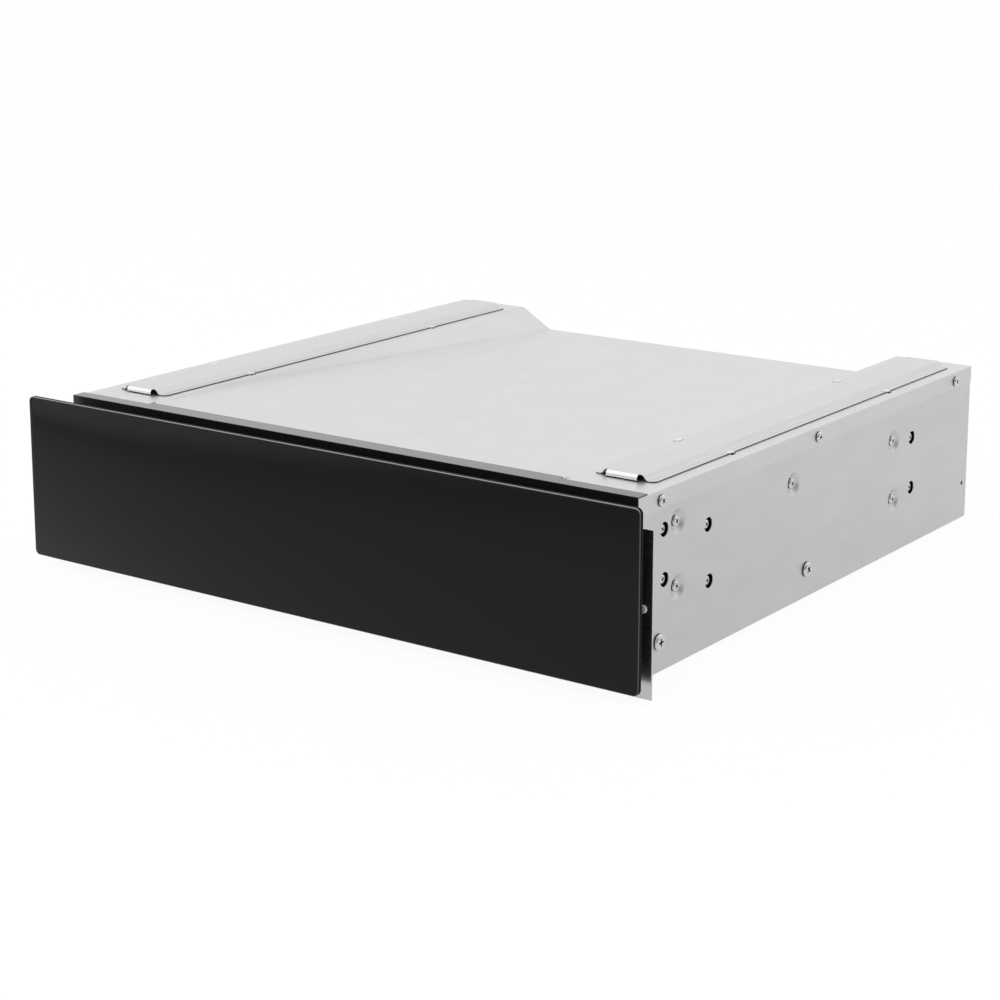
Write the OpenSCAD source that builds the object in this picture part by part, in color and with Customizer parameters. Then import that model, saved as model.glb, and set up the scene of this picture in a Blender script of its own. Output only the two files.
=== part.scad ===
// Built-in warming drawer: a flat sheet-steel housing that slides into a kitchen niche under an oven,
// with a drawer on ball runners, a glass front, and a fan heater behind the drawer.
// The origin is the centre of the housing's underside. +X is to the right, +Y to the back, +Z up.

/* [Housing] */
// Width over the outer faces of the two side sheets
body_w = 551.8; // [545:0.1:570]
// Depth from the front flanges to the rear flange of the cover
body_d = 543.6; // [520:0.1:600]
// Height from the underside to the top of the cover
body_h = 136; // [132:0.5:150]
// Thickness of the galvanised sheets
sheet_t = 0.8; // [0.6:0.1:1]
// Height of the flange that the cover turns down over the sides and the back
cover_flange_h = 14.5; // [12:0.5:16]
// Width of the shallow recess in the cover, at the level of the cover
recess_top_w = 409.2; // [380:0.1:414]
// Width of the recess at the level of its floor, at the back
recess_floor_w = 343.8; // [300:0.1:350]
// Depth of the recess at the back edge of the cover
recess_depth = 19.2; // [12:0.1:20]
// Height of the upturned side flanges of the base
base_flange_h = 35; // [30:1:38]
// Width of the inturned front flanges of the sides
front_flange_w = 14; // [10:1:14]

/* [Front trim] */
// Height of the front leg of the trim angle
trim_h = 17.3; // [16:0.1:18]
// Depth of the top leg of the trim angle beside the recess
trim_d = 12; // [10:0.5:12]
// Depth of the top leg of the trim angle in front of the recess
trim_mid_d = 16.5; // [14:0.5:18]
// Radius of the corners where the trim's top leg changes its depth
trim_corner_r = 2.5; // [1:0.5:4]

/* [Oven rails] */
// Width of each oven rail over its two flanges
rail_w = 52.5; // [48:0.5:54]
// Distance from the outer edge of a rail to the edge of the cover
rail_inset = 12.2; // [8:0.1:14]
// Place of the front end of the rails behind the front flanges
rail_front_y = 40.5; // [30:0.5:50]
// Length of the rails
rail_l = 483; // [400:1:500]
// Thickness of the rail strip
rail_t = 1; // [0.8:0.1:1.2]
// Height of the rail's middle above its flanges
rail_rise = 4; // [3:0.1:6]
// Width of the flat middle of the rail
rail_flat_w = 31.5; // [28:0.5:34]
// Width of each sloped web of the rail
rail_web_w = 3.5; // [3:0.1:6]
// Width of the lip that is bent down at the front of the rail
rail_lip_w = 26.5; // [20:0.5:27]
// Length of the lip before its bend
rail_lip_l = 4; // [3:0.5:6]
// Radius of the rounded corners of the rail flanges
rail_corner_r = 5; // [2:0.5:6]

/* [Side sheets] */
// Radius of the mouth of the pressed dimples
dimple_r = 9.5; // [8:0.5:10]
// Radius of the flat floor of the pressed dimples
dimple_flat_r = 5.6; // [5:0.1:6]
// Depth of the pressed dimples
dimple_depth = 3; // [2.5:0.1:3.5]
// Radius of the access holes over the carrier screws
access_r = 5.5; // [4.5:0.1:6]
// Radius of the fixing hole near the rear lower corner of each side
rear_hole_r = 1.75; // [1.5:0.05:2.5]

/* [Runners] */
// Height of a runner over its outer member
runner_h = 35; // [33:0.5:36]
// Width of a complete runner
runner_w = 12.7; // [12.7:0.1:13.5]
// Thickness of the runner strip
runner_t = 1.2; // [1:0.1:1.3]
// Diameter of the runner balls
ball_d = 3; // [2.6:0.1:3]
// Length of the ball cages
cage_l = 120; // [110:1:130]
// Number of balls along each edge of a cage
ball_count = 8; // [4:1:8]
// Thickness of the black runner bracket
bracket_t = 1.2; // [1:0.1:1.4]
// Thickness of the carrier plate between bracket and runner
carrier_t = 1.2; // [1:0.1:1.4]
// Place of the front end of the runners behind the front flanges
runner_y = 20; // [15:1:25]

/* [Drawer] */
// Thickness of the tray sheet
tray_t = 1; // [0.8:0.1:1.2]
// Height of the tray's underside above the underside of the housing
tray_z = 10; // [9:0.5:12]
// Clear height between the tray's rim and the inner roof
tray_roof_gap = 7.2; // [6:0.1:12]
// Clear depth between the tray and the rear partition
tray_rear_gap = 14; // [8:1:20]
// Thickness of the anti-slip mat
mat_t = 2; // [1.5:0.5:3]
// Radius of the corners of the mat
mat_corner_r = 12; // [5:1:20]

/* [Front] */
// Width of the glass front and of the steel plate behind it
front_w = 595; // [590:1:598]
// Height of the glass front
glass_h = 135.2; // [130:0.1:140]
// Thickness of the glass front
glass_t = 4; // [4:0.1:5]
// Height of the lower edge of the glass above the underside of the housing
glass_z = 3.4; // [2:0.1:6]
// Radius of the corners of the glass
glass_corner_r = 4.7; // [3:0.1:6]
// Distance from the front of the glass to the front flanges of the housing
glass_reach = 30.4; // [28:0.1:34]
// Height of the steel plate
plate_h = 123.6; // [115:0.1:124]
// How far the steel plate hangs below the underside of the housing
plate_drop = 4.1; // [0:0.1:6]
// Thickness of the steel plate
plate_t = 1; // [0.8:0.1:1.2]
// Distance from the front of the steel plate to the front flanges of the housing
plate_reach = 13.1; // [12.5:0.1:14]
// Width of the flanges of the three glass brackets
glass_bracket_w = 20; // [14:1:26]
// Distance from the middle to the outer glass brackets
glass_bracket_x = 262; // [180:1:270]
// Thickness of the glass brackets
glass_bracket_t = 1.2; // [1:0.1:1.5]

/* [Rear compartment] */
// Depth of the compartment behind the partition
rear_d = 88.6; // [84:0.1:100]
// Radius of the fan impeller
fan_r = 20; // [18:0.5:21]
// Length of the fan impeller
fan_l = 180; // [140:1:200]
// Height of the fan axis above the base
fan_z = 40; // [36:1:44]
// Place of the middle of the fan across the housing
fan_x = -30; // [-40:1:-10]
// Number of impeller blades
fan_blades = 18; // [12:1:24]
// Radius of the tubular heater
heater_r = 3.2; // [3:0.1:3.5]
// Distance between the two legs of the heater
heater_pitch = 13; // [11:0.5:14]

/* [Controls] */
// Place of the temperature knob across the housing
knob_x = 150; // [140:1:156]
// Radius of the temperature knob
knob_r = 4.7; // [4:0.1:5]
// Length of the temperature knob
knob_l = 8; // [6:0.5:8]
// Place of the pilot lamp across the housing
lamp_x = 178; // [172:1:182]
// Radius of the pilot lamp lens
lamp_r = 2.6; // [2:0.1:3]
// Place of the rocker switch across the housing
switch_x = 205; // [200:1:215]
// Width of the switch bezel
switch_w = 15; // [14:0.5:17]
// Height of the switch bezel
switch_h = 9; // [8.5:0.1:9.4]
// Height of the controls above the underside of the housing, as a share of its height
control_z_share = 0.921; // [0.918:0.001:0.924]

/* [Hidden] */

// Overrun of every cut past the face that it opens
over = 1;
round_fn = 40;
small_fn = 24;
// Play between a screw and the hole that it is driven into
thread_play = 0.05;
// Radial play of a turning shaft in its bush
shaft_play = 0.05;
// Play between a moving part and what stands beside it
run_play = 0.3;

side_out = body_w / 2;
side_in = side_out - sheet_t;
cover_out = side_out + sheet_t;
back_out = body_d - sheet_t;
back_in = back_out - sheet_t;
sheet_top = body_h - sheet_t;
front_flange_in = side_in - front_flange_w;

bracket_out = side_out - dimple_depth - sheet_t;
carrier_out = bracket_out - bracket_t;
runner_out = carrier_out - carrier_t;
tray_out = runner_out - runner_w;

partition_y = body_d - rear_d;
roof_drop = 22;
roof_z = body_h - roof_drop;
roof_edge_gap = 0.3;
roof_out = front_flange_in - roof_edge_gap;
tray_back = partition_y - tray_rear_gap;
tray_top = roof_z - sheet_t - tray_roof_gap;
tray_front = -plate_reach + plate_t;
glass_back = -glass_reach + glass_t;
plate_z = -plate_drop;
plate_top = plate_z + plate_h;

// Centre height of the runners, as a share of the height of the housing
runner_z_share = 0.534;
runner_z = body_h * runner_z_share;
runner_l = partition_y - runner_y;

control_z = body_h * control_z_share;

// Places on a side sheet, as shares of its depth and height
dimple_shares = [[0.100, 0.787], [0.102, 0.428], [0.414, 0.718], [0.730, 0.715], [0.735, 0.343]];
access_shares = [[0.066, 0.774], [0.068, 0.499], [0.178, 0.697], [0.183, 0.376], [0.791, 0.690],
    [0.794, 0.368]];
cover_screw_shares = [0.055, 0.482, 0.939];
base_screw_shares = [0.055, 0.459];
rear_hole_shares = [0.982, 0.235];
function on_side(share) = [share[0] * body_d, share[1] * body_h];

// Screws: shank radius, head radius and head height of each kind
bracket_screw_r = 2;
bracket_head_r = 4.2;
bracket_head_h = 2.2;
carrier_screw_r = 2;
carrier_head_r = 4;
carrier_head_h = 2.4;
cover_screw_r = 1.7;
cover_head_r = 4.4;
cover_head_h = 2.2;
base_screw_r = 2.5;
base_head_r = 6.2;
base_head_h = 2.6;
screw_tail = 1.4;
recess_w = 0.8;
recess_reach_share = 0.6;
recess_depth_share = 0.6;
head_edge_share = 0.4;
head_top_share = 0.62;

// A box between two limits on each axis
module slab(x0, x1, y0, y1, z0, z1) {
    translate([x0, y0, z0])
        cube([x1 - x0, y1 - y0, z1 - z0]);
}

// Everything is drawn from the front flanges backwards, and moved so that the origin is in the middle
module placed(shade) {
    color(shade)
        translate([0, -body_d / 2, 0])
            children();
}

// A drawing of the right side, mirrored to the left
module left_hand() {
    mirror([1, 0, 0])
        children();
}

module both_sides() {
    children();
    left_hand()
        children();
}

// A round bar or hole along X between two places
module bar_x(x0, x1, y, z, r, fn = round_fn) {
    translate([x0, y, z])
        rotate([0, 90, 0])
            cylinder(h = x1 - x0, r = r, $fn = fn);
}

// A round bar or hole along Y between two places
module bar_y(y0, y1, x, z, r, fn = round_fn) {
    translate([x, y1, z])
        rotate([90, 0, 0])
            cylinder(h = y1 - y0, r = r, $fn = fn);
}

// A round bar or hole along Z between two places
module bar_z(z0, z1, x, y, r, fn = round_fn) {
    translate([x, y, z0])
        cylinder(h = z1 - z0, r = r, $fn = fn);
}

// A flat rectangle with round corners, from exact circles
module round_rect(w, h, r) {
    translate([r, 0])
        square([w - 2 * r, h]);
    translate([0, r])
        square([w, h - 2 * r]);
    for (x = [r, w - r])
        for (y = [r, h - r])
            translate([x, y])
                circle(r = r, $fn = round_fn);
}

// A screw with a domed head on its seat at height 0 and its shank below it, with a cross recess
module screw(shank_r, shank_l, head_r, head_h) {
    difference() {
        rotate_extrude($fn = small_fn)
            polygon([[0, -shank_l], [shank_r, -shank_l], [shank_r, 0], [head_r, 0],
                [head_r, head_h * head_edge_share], [head_r * head_top_share, head_h], [0, head_h]]);
        for (turn = [0, 90])
            rotate([0, 0, turn])
                slab(-head_r * recess_reach_share, head_r * recess_reach_share, -recess_w / 2, recess_w / 2,
                    head_h * (1 - recess_depth_share), head_h + over);
    }
}

// A screw driven towards the middle through something whose outer face is at x
module screw_in_x(x, y, z, shank_r, shank_l, head_r, head_h) {
    translate([x, y, z])
        rotate([0, 90, 0])
            screw(shank_r, shank_l, head_r, head_h);
}

// The housing's base: a pan with upturned flanges
base_lip_h = 7;
base_rear_h = 20;
base_bead_w = 8;
base_bead_h = 1.2;
base_bead_count = 3;
base_bead_margin = 60;
module housing_base_shape() {
    difference() {
        union() {
            slab(-side_in, side_in, 0, back_in, 0, sheet_t);
            both_sides()
                slab(side_in - sheet_t, side_in, sheet_t, back_in, 0, base_flange_h);
            slab(-front_flange_in + run_play, front_flange_in - run_play, 0, sheet_t, 0, base_lip_h);
            slab(-side_in, side_in, back_in - sheet_t, back_in, 0, base_rear_h);
            for (i = [0 : base_bead_count - 1]) {
                y = base_bead_margin + i * (partition_y - 2 * base_bead_margin) / (base_bead_count - 1);
                slab(-side_in + base_bead_margin, side_in - base_bead_margin, y - base_bead_w / 2,
                    y + base_bead_w / 2, 0, sheet_t + base_bead_h);
            }
        }
        for (i = [0 : base_bead_count - 1]) {
            y = base_bead_margin + i * (partition_y - 2 * base_bead_margin) / (base_bead_count - 1);
            slab(-side_in + base_bead_margin + sheet_t, side_in - base_bead_margin - sheet_t,
                y - base_bead_w / 2 + sheet_t, y + base_bead_w / 2 - sheet_t, -over, base_bead_h);
        }
        both_sides() {
            for (share = base_screw_shares)
                bar_x(side_in - sheet_t - over, side_in + over, share * body_d, base_screw_z,
                    base_screw_r + thread_play);
            rear = on_side(rear_hole_shares);
            slab(side_in - sheet_t - over, side_in + over, rear[0] - rear_hole_r - base_notch_gap,
                back_in + over, rear[1] - rear_hole_r - base_notch_gap, base_flange_h + over);
        }
    }
}
base_screw_z = 23;
// Clearance of the corner notches in the flanges around the rear fixing holes
base_notch_gap = 1.4;
module housing_base()
    placed("gainsboro")
        housing_base_shape();

// A side sheet with its pressed dimples, access holes and front flange
runner_gate_play = 4;
module dimple(y, z) {
    hole_r = bracket_screw_r + thread_play;
    translate([side_out, y, z])
        rotate([0, 90, 0])
            rotate_extrude($fn = round_fn)
                polygon([[hole_r, -dimple_depth], [dimple_flat_r, -dimple_depth], [dimple_r, 0],
                    [dimple_r + sheet_t, 0], [dimple_r + sheet_t, -sheet_t], [dimple_r, -sheet_t],
                    [dimple_flat_r, -dimple_depth - sheet_t], [hole_r, -dimple_depth - sheet_t]]);
}
module housing_side_shape() {
    difference() {
        union() {
            slab(side_in, side_out, 0, back_out, 0, sheet_top);
            slab(front_flange_in, side_in + sheet_t / 2, 0, sheet_t, sheet_t, sheet_top);
        }
        for (share = dimple_shares) {
            at = on_side(share);
            bar_x(side_in - over, side_out + over, at[0], at[1], dimple_r);
        }
        for (share = access_shares) {
            at = on_side(share);
            bar_x(side_in - over, side_out + over, at[0], at[1], access_r);
        }
        for (share = base_screw_shares)
            bar_x(side_in - over, side_out + over, share * body_d, base_screw_z, base_screw_r + thread_play);
        for (share = cover_screw_shares)
            bar_x(side_in - over, side_out + over, share * body_d, cover_screw_z,
                cover_screw_r + thread_play);
        rear = on_side(rear_hole_shares);
        bar_x(side_in - over, side_out + over, rear[0], rear[1], rear_hole_r);
        slab(front_flange_in - over, side_in, -over, sheet_t + over,
            runner_z - runner_h / 2 - runner_gate_play, runner_z + runner_h / 2 + runner_gate_play);
        for (z = buffer_zs)
            bar_y(-over, sheet_t + over, buffer_x, z, buffer_stem_r);
    }
    for (share = dimple_shares) {
        at = on_side(share);
        dimple(at[0], at[1]);
    }
}
cover_screw_z_share = 0.56;
cover_screw_z = body_h - cover_flange_h * cover_screw_z_share;
module housing_side_right()
    placed("silver")
        housing_side_shape();
module housing_side_left()
    placed("silver")
        left_hand()
            housing_side_shape();

// The rear sheet, cut out at the top to follow the cover's recess
back_flange_d = 15;
vent_w = 4;
vent_h = 26;
vent_pitch = 9;
vent_count = 14;
vent_z = 62;
vent_x = 70;
gland_x = -225;
gland_z = 70;
gland_r = 6;
gland_bore_r = 4;
module housing_back_shape() {
    ridge = recess_top_w / 2;
    floor_x = recess_floor_w / 2;
    low = sheet_top - recess_depth;
    difference() {
        union() {
            translate([0, back_out, 0])
                rotate([90, 0, 0])
                    linear_extrude(height = sheet_t)
                        polygon([[-side_in, 0], [side_in, 0], [side_in, sheet_top], [ridge, sheet_top],
                            [floor_x, low], [-floor_x, low], [-ridge, sheet_top], [-side_in, sheet_top]]);
            both_sides()
                slab(side_in - sheet_t, side_in, back_in - back_flange_d, back_in + sheet_t / 2,
                    base_flange_h + sheet_t, sheet_top - cover_flange_h);
        }
        for (i = [0 : vent_count - 1])
            translate([vent_x + i * vent_pitch - vent_w / 2, back_in - over, vent_z - vent_h / 2])
                cube([vent_w, sheet_t + 2 * over, vent_h]);
        bar_y(back_in - over, back_out + over, gland_x, gland_z, gland_r);
        for (x = rear_screw_xs)
            bar_y(back_in - over, back_out + over, x, cover_screw_z, cover_screw_r + thread_play);
    }
}
// Places across the back of the screws that hold the cover's rear flange, from the width of the cover
rear_screw_shares = [-0.43, 0.43];
rear_screw_xs = [for (share = rear_screw_shares) share * body_w];
module housing_back()
    placed("lightgrey")
        housing_back_shape();

// The space that the cover's recess takes out of the block under the cover
module recess_space() {
    ridge = recess_top_w / 2;
    floor_x = recess_floor_w / 2;
    slope = (ridge - floor_x) / recess_depth;
    fall = recess_depth / (body_d - recess_y);
    deep = recess_depth + over;
    long = body_d - recess_y + over;
    intersection() {
        translate([0, body_d + over, body_h])
            rotate([90, 0, 0])
                linear_extrude(height = body_d + 2 * over)
                    polygon([[-ridge - slope * over, over], [ridge + slope * over, over],
                        [ridge - slope * deep, -deep], [-ridge + slope * deep, -deep]]);
        translate([-ridge - slope * over, recess_y, body_h])
            rotate([90, 0, 90])
                linear_extrude(height = 2 * (ridge + slope * over))
                    polygon([[-over, over], [long, over], [long, -fall * long], [-over, fall * over]]);
    }
}
// The block under the cover's upper face
module under_cover(half_w, y0, y1) {
    difference() {
        slab(-half_w, half_w, y0, y1, body_h - recess_depth - cover_flange_h - over, body_h);
        recess_space();
    }
}
recess_y = 12.5;
// The slits that let the sheet bend at the front ends of the recess
relief_w = 1.2;
relief_l = 9;
rail_z = body_h;
rail_out = cover_out - rail_inset;
rail_mid = rail_out - rail_w / 2;
// Lanced tabs on the right and on the left edge of each rail, from its front as shares of its length
rail_tab_shares = [[0.221, 0.753], [0.243, 0.775]];
rail_tab_w = 7;
rail_tab_lap = 2.5;
module rail_tab(side, y, turn) {
    difference() {
        translate([side * rail_mid, y, rail_z])
            rotate([0, 0, turn]) {
                slab(rail_w / 2, rail_w / 2 + sheet_t, -rail_tab_w / 2, rail_tab_w / 2,
                    -recess_depth - sheet_t, rail_t + sheet_t);
                slab(rail_w / 2 - rail_tab_lap, rail_w / 2 + sheet_t, -rail_tab_w / 2, rail_tab_w / 2,
                    rail_t, rail_t + sheet_t);
            }
        translate([0, 0, -sheet_t / 2])
            under_cover(cover_out + over, -over, body_d + over);
    }
}
module housing_top_shape() {
    difference() {
        union() {
            difference() {
                under_cover(cover_out, 0, body_d);
                translate([0, 0, -sheet_t])
                    under_cover(cover_out + over, -over, body_d + over);
            }
            both_sides()
                slab(side_out, cover_out, 0, body_d, body_h - cover_flange_h, body_h - sheet_t / 2);
            difference() {
                under_cover(cover_out, back_out, body_d);
                translate([0, 0, -cover_flange_h])
                    under_cover(cover_out + over, back_out - over, body_d + over);
            }
        }
        both_sides()
            for (share = cover_screw_shares)
                bar_x(side_out - over, cover_out + over, share * body_d, cover_screw_z,
                    cover_screw_r + thread_play);
        for (x = rear_screw_xs)
            bar_y(back_out - over, body_d + over, x, cover_screw_z, cover_screw_r + thread_play);
        both_sides()
            slab(recess_top_w / 2 - relief_w / 2, recess_top_w / 2 + relief_w / 2, recess_y - relief_w,
                recess_y + relief_l, sheet_top - recess_depth, body_h + over);
    }
    for (side = [-1, 1])
        for (edge = [0, 1])
            for (share = rail_tab_shares[edge])
                rail_tab(side, rail_front_y + share * rail_l, 180 * edge);
}
module housing_top()
    placed("gainsboro")
        housing_top_shape();

// The black trim angle over the front edge of the cover, with the openings for the controls
module trim_shape() {
    difference() {
        union() {
            slab(-cover_out, cover_out, -sheet_t, 0, body_h + sheet_t - trim_h, body_h + sheet_t);
            slab(-cover_out, cover_out, -sheet_t, trim_d, body_h, body_h + sheet_t);
            translate([-recess_top_w / 2 + relief_w, 0, body_h])
                linear_extrude(height = sheet_t)
                    round_rect(recess_top_w - 2 * relief_w, trim_mid_d, trim_corner_r);
        }
        control_openings();
    }
}
bush_r = 3.5;
switch_wall = 0.8;
module control_openings() {
    bar_y(-sheet_t - over, sheet_t + over, knob_x, control_z, bush_r);
    bar_y(-sheet_t - over, sheet_t + over, lamp_x, control_z, lamp_r);
    slab(switch_x - switch_w / 2 + switch_wall, switch_x + switch_w / 2 - switch_wall, -sheet_t - over,
        sheet_t + over, control_z - switch_h / 2 + switch_wall, control_z + switch_h / 2 - switch_wall);
}
module front_trim()
    placed("dimgray")
        trim_shape();

// A hat-section rail that the oven above stands on
module rail_section() {
    flat = rail_flat_w / 2;
    foot = flat + rail_web_w;
    edge = rail_w / 2;
    polygon([[-edge, 0], [-foot, 0], [-flat, rail_rise], [flat, rail_rise], [foot, 0], [edge, 0],
        [edge, rail_t], [foot - rail_t / 2, rail_t], [flat - rail_t / 2, rail_rise + rail_t],
        [-flat + rail_t / 2, rail_rise + rail_t], [-foot + rail_t / 2, rail_t], [-edge, rail_t]]);
}
rail_lip_gap = 0.4;
module oven_rail_shape() {
    translate([rail_mid, rail_front_y, rail_z]) {
        intersection() {
            translate([0, rail_l, 0])
                rotate([90, 0, 0])
                    linear_extrude(height = rail_l)
                        rail_section();
            translate([-rail_w / 2, 0, -over])
                linear_extrude(height = rail_rise + rail_t + 2 * over)
                    round_rect(rail_w, rail_l, rail_corner_r);
        }
        slab(-rail_lip_w / 2, rail_lip_w / 2, -rail_lip_l, rail_t, rail_rise, rail_rise + rail_t);
        slab(-rail_lip_w / 2, rail_lip_w / 2, -rail_lip_l, -rail_lip_l + rail_t, rail_lip_gap,
            rail_rise + rail_t);
    }
}
module oven_rail_right()
    placed("whitesmoke")
        oven_rail_shape();
module oven_rail_left()
    placed("whitesmoke")
        left_hand()
            oven_rail_shape();

// The roof over the drawer, under the space that holds the controls and the wiring
module inner_roof_shape() {
    difference() {
        union() {
            slab(-roof_out, roof_out, 0, partition_y + sheet_t, roof_z - sheet_t, roof_z);
            slab(-roof_out, roof_out, 0, sheet_t, roof_z - sheet_t, sheet_top);
            both_sides()
                slab(roof_out - sheet_t, roof_out, 0, partition_y + sheet_t, roof_z - sheet_t, sheet_top);
        }
        control_openings();
    }
}
module inner_roof()
    placed("lightgrey")
        inner_roof_shape();

// The sheet between the drawer and the fan, with the slots that the warm air blows through
partition_out = tray_out - tray_t;
duct_wall = 1;
// How far the duct reaches below and above the fan axis
duct_low = 10;
duct_high = 14;
duct_z0 = fan_z - duct_low;
duct_z1 = fan_z + duct_high;
end_gap = 3;
duct_x0 = fan_x - fan_l / 2 - end_gap;
duct_x1 = fan_x + fan_l / 2 + end_gap;
air_slot_w = 12;
air_slot_h = 3;
air_slot_pitch = 18;
return_slot_z = 90;
module rear_partition_shape() {
    slots = floor((duct_x1 - duct_x0 - air_slot_w) / air_slot_pitch);
    difference() {
        slab(-partition_out, partition_out, partition_y, partition_y + sheet_t, sheet_t, roof_z - sheet_t);
        for (i = [0 : slots - 1])
            for (row = [0 : 2]) {
                x = duct_x0 + air_slot_w + i * air_slot_pitch;
                z = duct_z0 + duct_wall + air_slot_h + row * 2 * air_slot_h;
                slab(x, x + air_slot_w, partition_y - over, partition_y + sheet_t + over, z, z + air_slot_h);
            }
        for (i = [0 : 2 * slots - 1]) {
            x = -slots * air_slot_pitch + i * air_slot_pitch;
            slab(x, x + air_slot_w, partition_y - over, partition_y + sheet_t + over, return_slot_z,
                return_slot_z + air_slot_h);
        }
    }
}
module rear_partition()
    placed("lightgrey")
        rear_partition_shape();

// The black bracket behind the dimples of a side sheet
bracket_y_shares = [0.042, 0.835];
bracket_z_shares = [0.296, 0.853];
bracket_window_shares = [[0.235, 0.375], [0.455, 0.695]];
bracket_window_z_shares = [0.375, 0.660];
module runner_bracket_shape() {
    z0 = bracket_z_shares[0] * body_h;
    z1 = bracket_z_shares[1] * body_h;
    difference() {
        slab(carrier_out, bracket_out, bracket_y_shares[0] * body_d, bracket_y_shares[1] * body_d, z0, z1);
        for (share = bracket_window_shares)
            slab(carrier_out - over, bracket_out + over, share[0] * body_d, share[1] * body_d,
                bracket_window_z_shares[0] * body_h, bracket_window_z_shares[1] * body_h);
        for (share = dimple_shares) {
            at = on_side(share);
            bar_x(carrier_out - over, bracket_out + over, at[0], at[1], bracket_screw_r + thread_play);
        }
        for (share = access_shares) {
            at = on_side(share);
            bar_x(carrier_out - over, bracket_out + over, at[0], at[1], carrier_screw_r + thread_play);
        }
    }
}
module runner_bracket_right()
    placed("#202022")
        runner_bracket_shape();
module runner_bracket_left()
    placed("#202022")
        left_hand()
            runner_bracket_shape();

// The plate that carries a runner, with a raised ear at the front
carrier_y_shares = [0.046, 0.835];
carrier_z_shares = [0.331, 0.735];
carrier_ear_shares = [0.088, 0.815];
tip_play = 1;
module runner_carrier_shape() {
    y0 = carrier_y_shares[0] * body_d;
    difference() {
        union() {
            slab(runner_out, carrier_out, y0, carrier_y_shares[1] * body_d,
                carrier_z_shares[0] * body_h, carrier_z_shares[1] * body_h);
            slab(runner_out, carrier_out, y0, carrier_ear_shares[0] * body_d,
                carrier_z_shares[0] * body_h, carrier_ear_shares[1] * body_h);
        }
        for (share = access_shares) {
            at = on_side(share);
            bar_x(runner_out - over, carrier_out + over, at[0], at[1], carrier_screw_r + thread_play);
        }
        for (share = dimple_shares) {
            at = on_side(share);
            bar_x(runner_out - over, carrier_out + over, at[0], at[1], bracket_screw_r + tip_play);
        }
        for (share = rivet_shares)
            bar_x(runner_out - over, carrier_out + over, runner_y + share * runner_l, runner_z, rivet_r);
    }
}
module runner_carrier_right()
    placed("silver")
        runner_carrier_shape();
module runner_carrier_left()
    placed("silver")
        left_hand()
            runner_carrier_shape();

// The nested channels of a ball runner, drawn inwards from the carrier at the height of the runner.
// Heights from the middle of the runner, from the outer member inwards
ball_play = 0.05;
ball_r = ball_d / 2;
outer_flange = runner_h / 2 - runner_t;
outer_ball = outer_flange - ball_play - ball_r;
middle_h = outer_ball - ball_r - ball_play;
middle_flange = middle_h - runner_t;
inner_ball = middle_flange - ball_play - ball_r;
inner_h = inner_ball - ball_r - ball_play;
// Distances inwards from the carrier, of the edges of the channels and cages
cage_t = 0.8;
inner_cage_t = 0.6;
web_gap = 0.4;
middle_web_gap = 1.4;
inner_mouth_gap = 0.5;
outer_mouth_gap = 1.7;
middle_mouth_gap = 1.1;
outer_mouth = runner_w - outer_mouth_gap;
outer_cage_web = runner_t + web_gap;
middle_web = outer_cage_web + cage_t + middle_web_gap;
middle_mouth = runner_w - middle_mouth_gap;
inner_cage_web = middle_web + runner_t + run_play;
inner_mouth = inner_cage_web + inner_cage_t + inner_mouth_gap;
cage_mouth_play = 0.6;
outer_ball_u = (middle_web + outer_mouth) / 2;
inner_ball_u = (inner_mouth + middle_mouth) / 2;
// Rivets through the outer member's web, as shares of the runner's length
rivet_shares = [0.10, 0.955];
rivet_r = 2;
rivet_head_r = 3.4;
rivet_head_h = 0.5;

module in_runner() {
    translate([runner_out, 0, runner_z])
        mirror([1, 0, 0])
            children();
}
// A channel with its web at u0 to u0 + t and its flanges out to u1, half_h high
module channel(u0, u1, y0, y1, half_h, t) {
    slab(u0, u0 + t, y0, y1, -half_h, half_h);
    for (side = [0, 1])
        mirror([0, 0, side])
            slab(u0, u1, y0, y1, half_h - t, half_h);
}
// Places of the balls along a cage that starts at y0
function ball_ys(y0) = [for (i = [0 : ball_count - 1]) y0 + cage_l * (i + 0.5) / ball_count];
module runner_outer_shape() {
    difference() {
        union() {
            in_runner()
                channel(0, outer_mouth, runner_y, runner_y + runner_l, runner_h / 2, runner_t);
            in_runner()
                for (share = rivet_shares)
                    bar_x(-carrier_t, runner_t + rivet_head_h, runner_y + share * runner_l, 0, rivet_r);
            in_runner()
                for (share = rivet_shares)
                    bar_x(runner_t - rivet_head_h, runner_t + rivet_head_h, runner_y + share * runner_l, 0,
                        rivet_head_r);
        }
        for (share = access_shares) {
            at = on_side(share);
            bar_x(runner_out - runner_t - over, runner_out + over, at[0], at[1],
                carrier_screw_r + thread_play);
        }
    }
}
module runner_outer_right()
    placed("darkgrey")
        runner_outer_shape();
module runner_outer_left()
    placed("darkgrey")
        left_hand()
            runner_outer_shape();

module runner_middle_shape() {
    in_runner()
        channel(middle_web, middle_mouth, runner_y, runner_y + runner_l, middle_h, runner_t);
}
module runner_middle_right()
    placed("silver")
        runner_middle_shape();
module runner_middle_left()
    placed("silver")
        left_hand()
            runner_middle_shape();

tray_screw_shares = [0.12, 0.5, 0.88];
tray_screw_r = 1.75;
tray_head_r = 3.4;
tray_head_h = 1.2;
function tray_screw_y(share) = runner_y + share * (tray_back - runner_y);
module runner_inner_shape() {
    difference() {
        in_runner() {
            slab(runner_w - runner_t, runner_w, runner_y, tray_back, -inner_h, inner_h);
            for (side = [0, 1])
                mirror([0, 0, side])
                    slab(inner_mouth, runner_w, runner_y, tray_back, inner_h - runner_t, inner_h);
        }
        for (share = tray_screw_shares)
            bar_x(tray_out - over, tray_out + runner_t + over, tray_screw_y(share), runner_z,
                tray_screw_r + thread_play);
    }
}
module runner_inner_right()
    placed("silver")
        runner_inner_shape();
module runner_inner_left()
    placed("silver")
        left_hand()
            runner_inner_shape();

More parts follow.
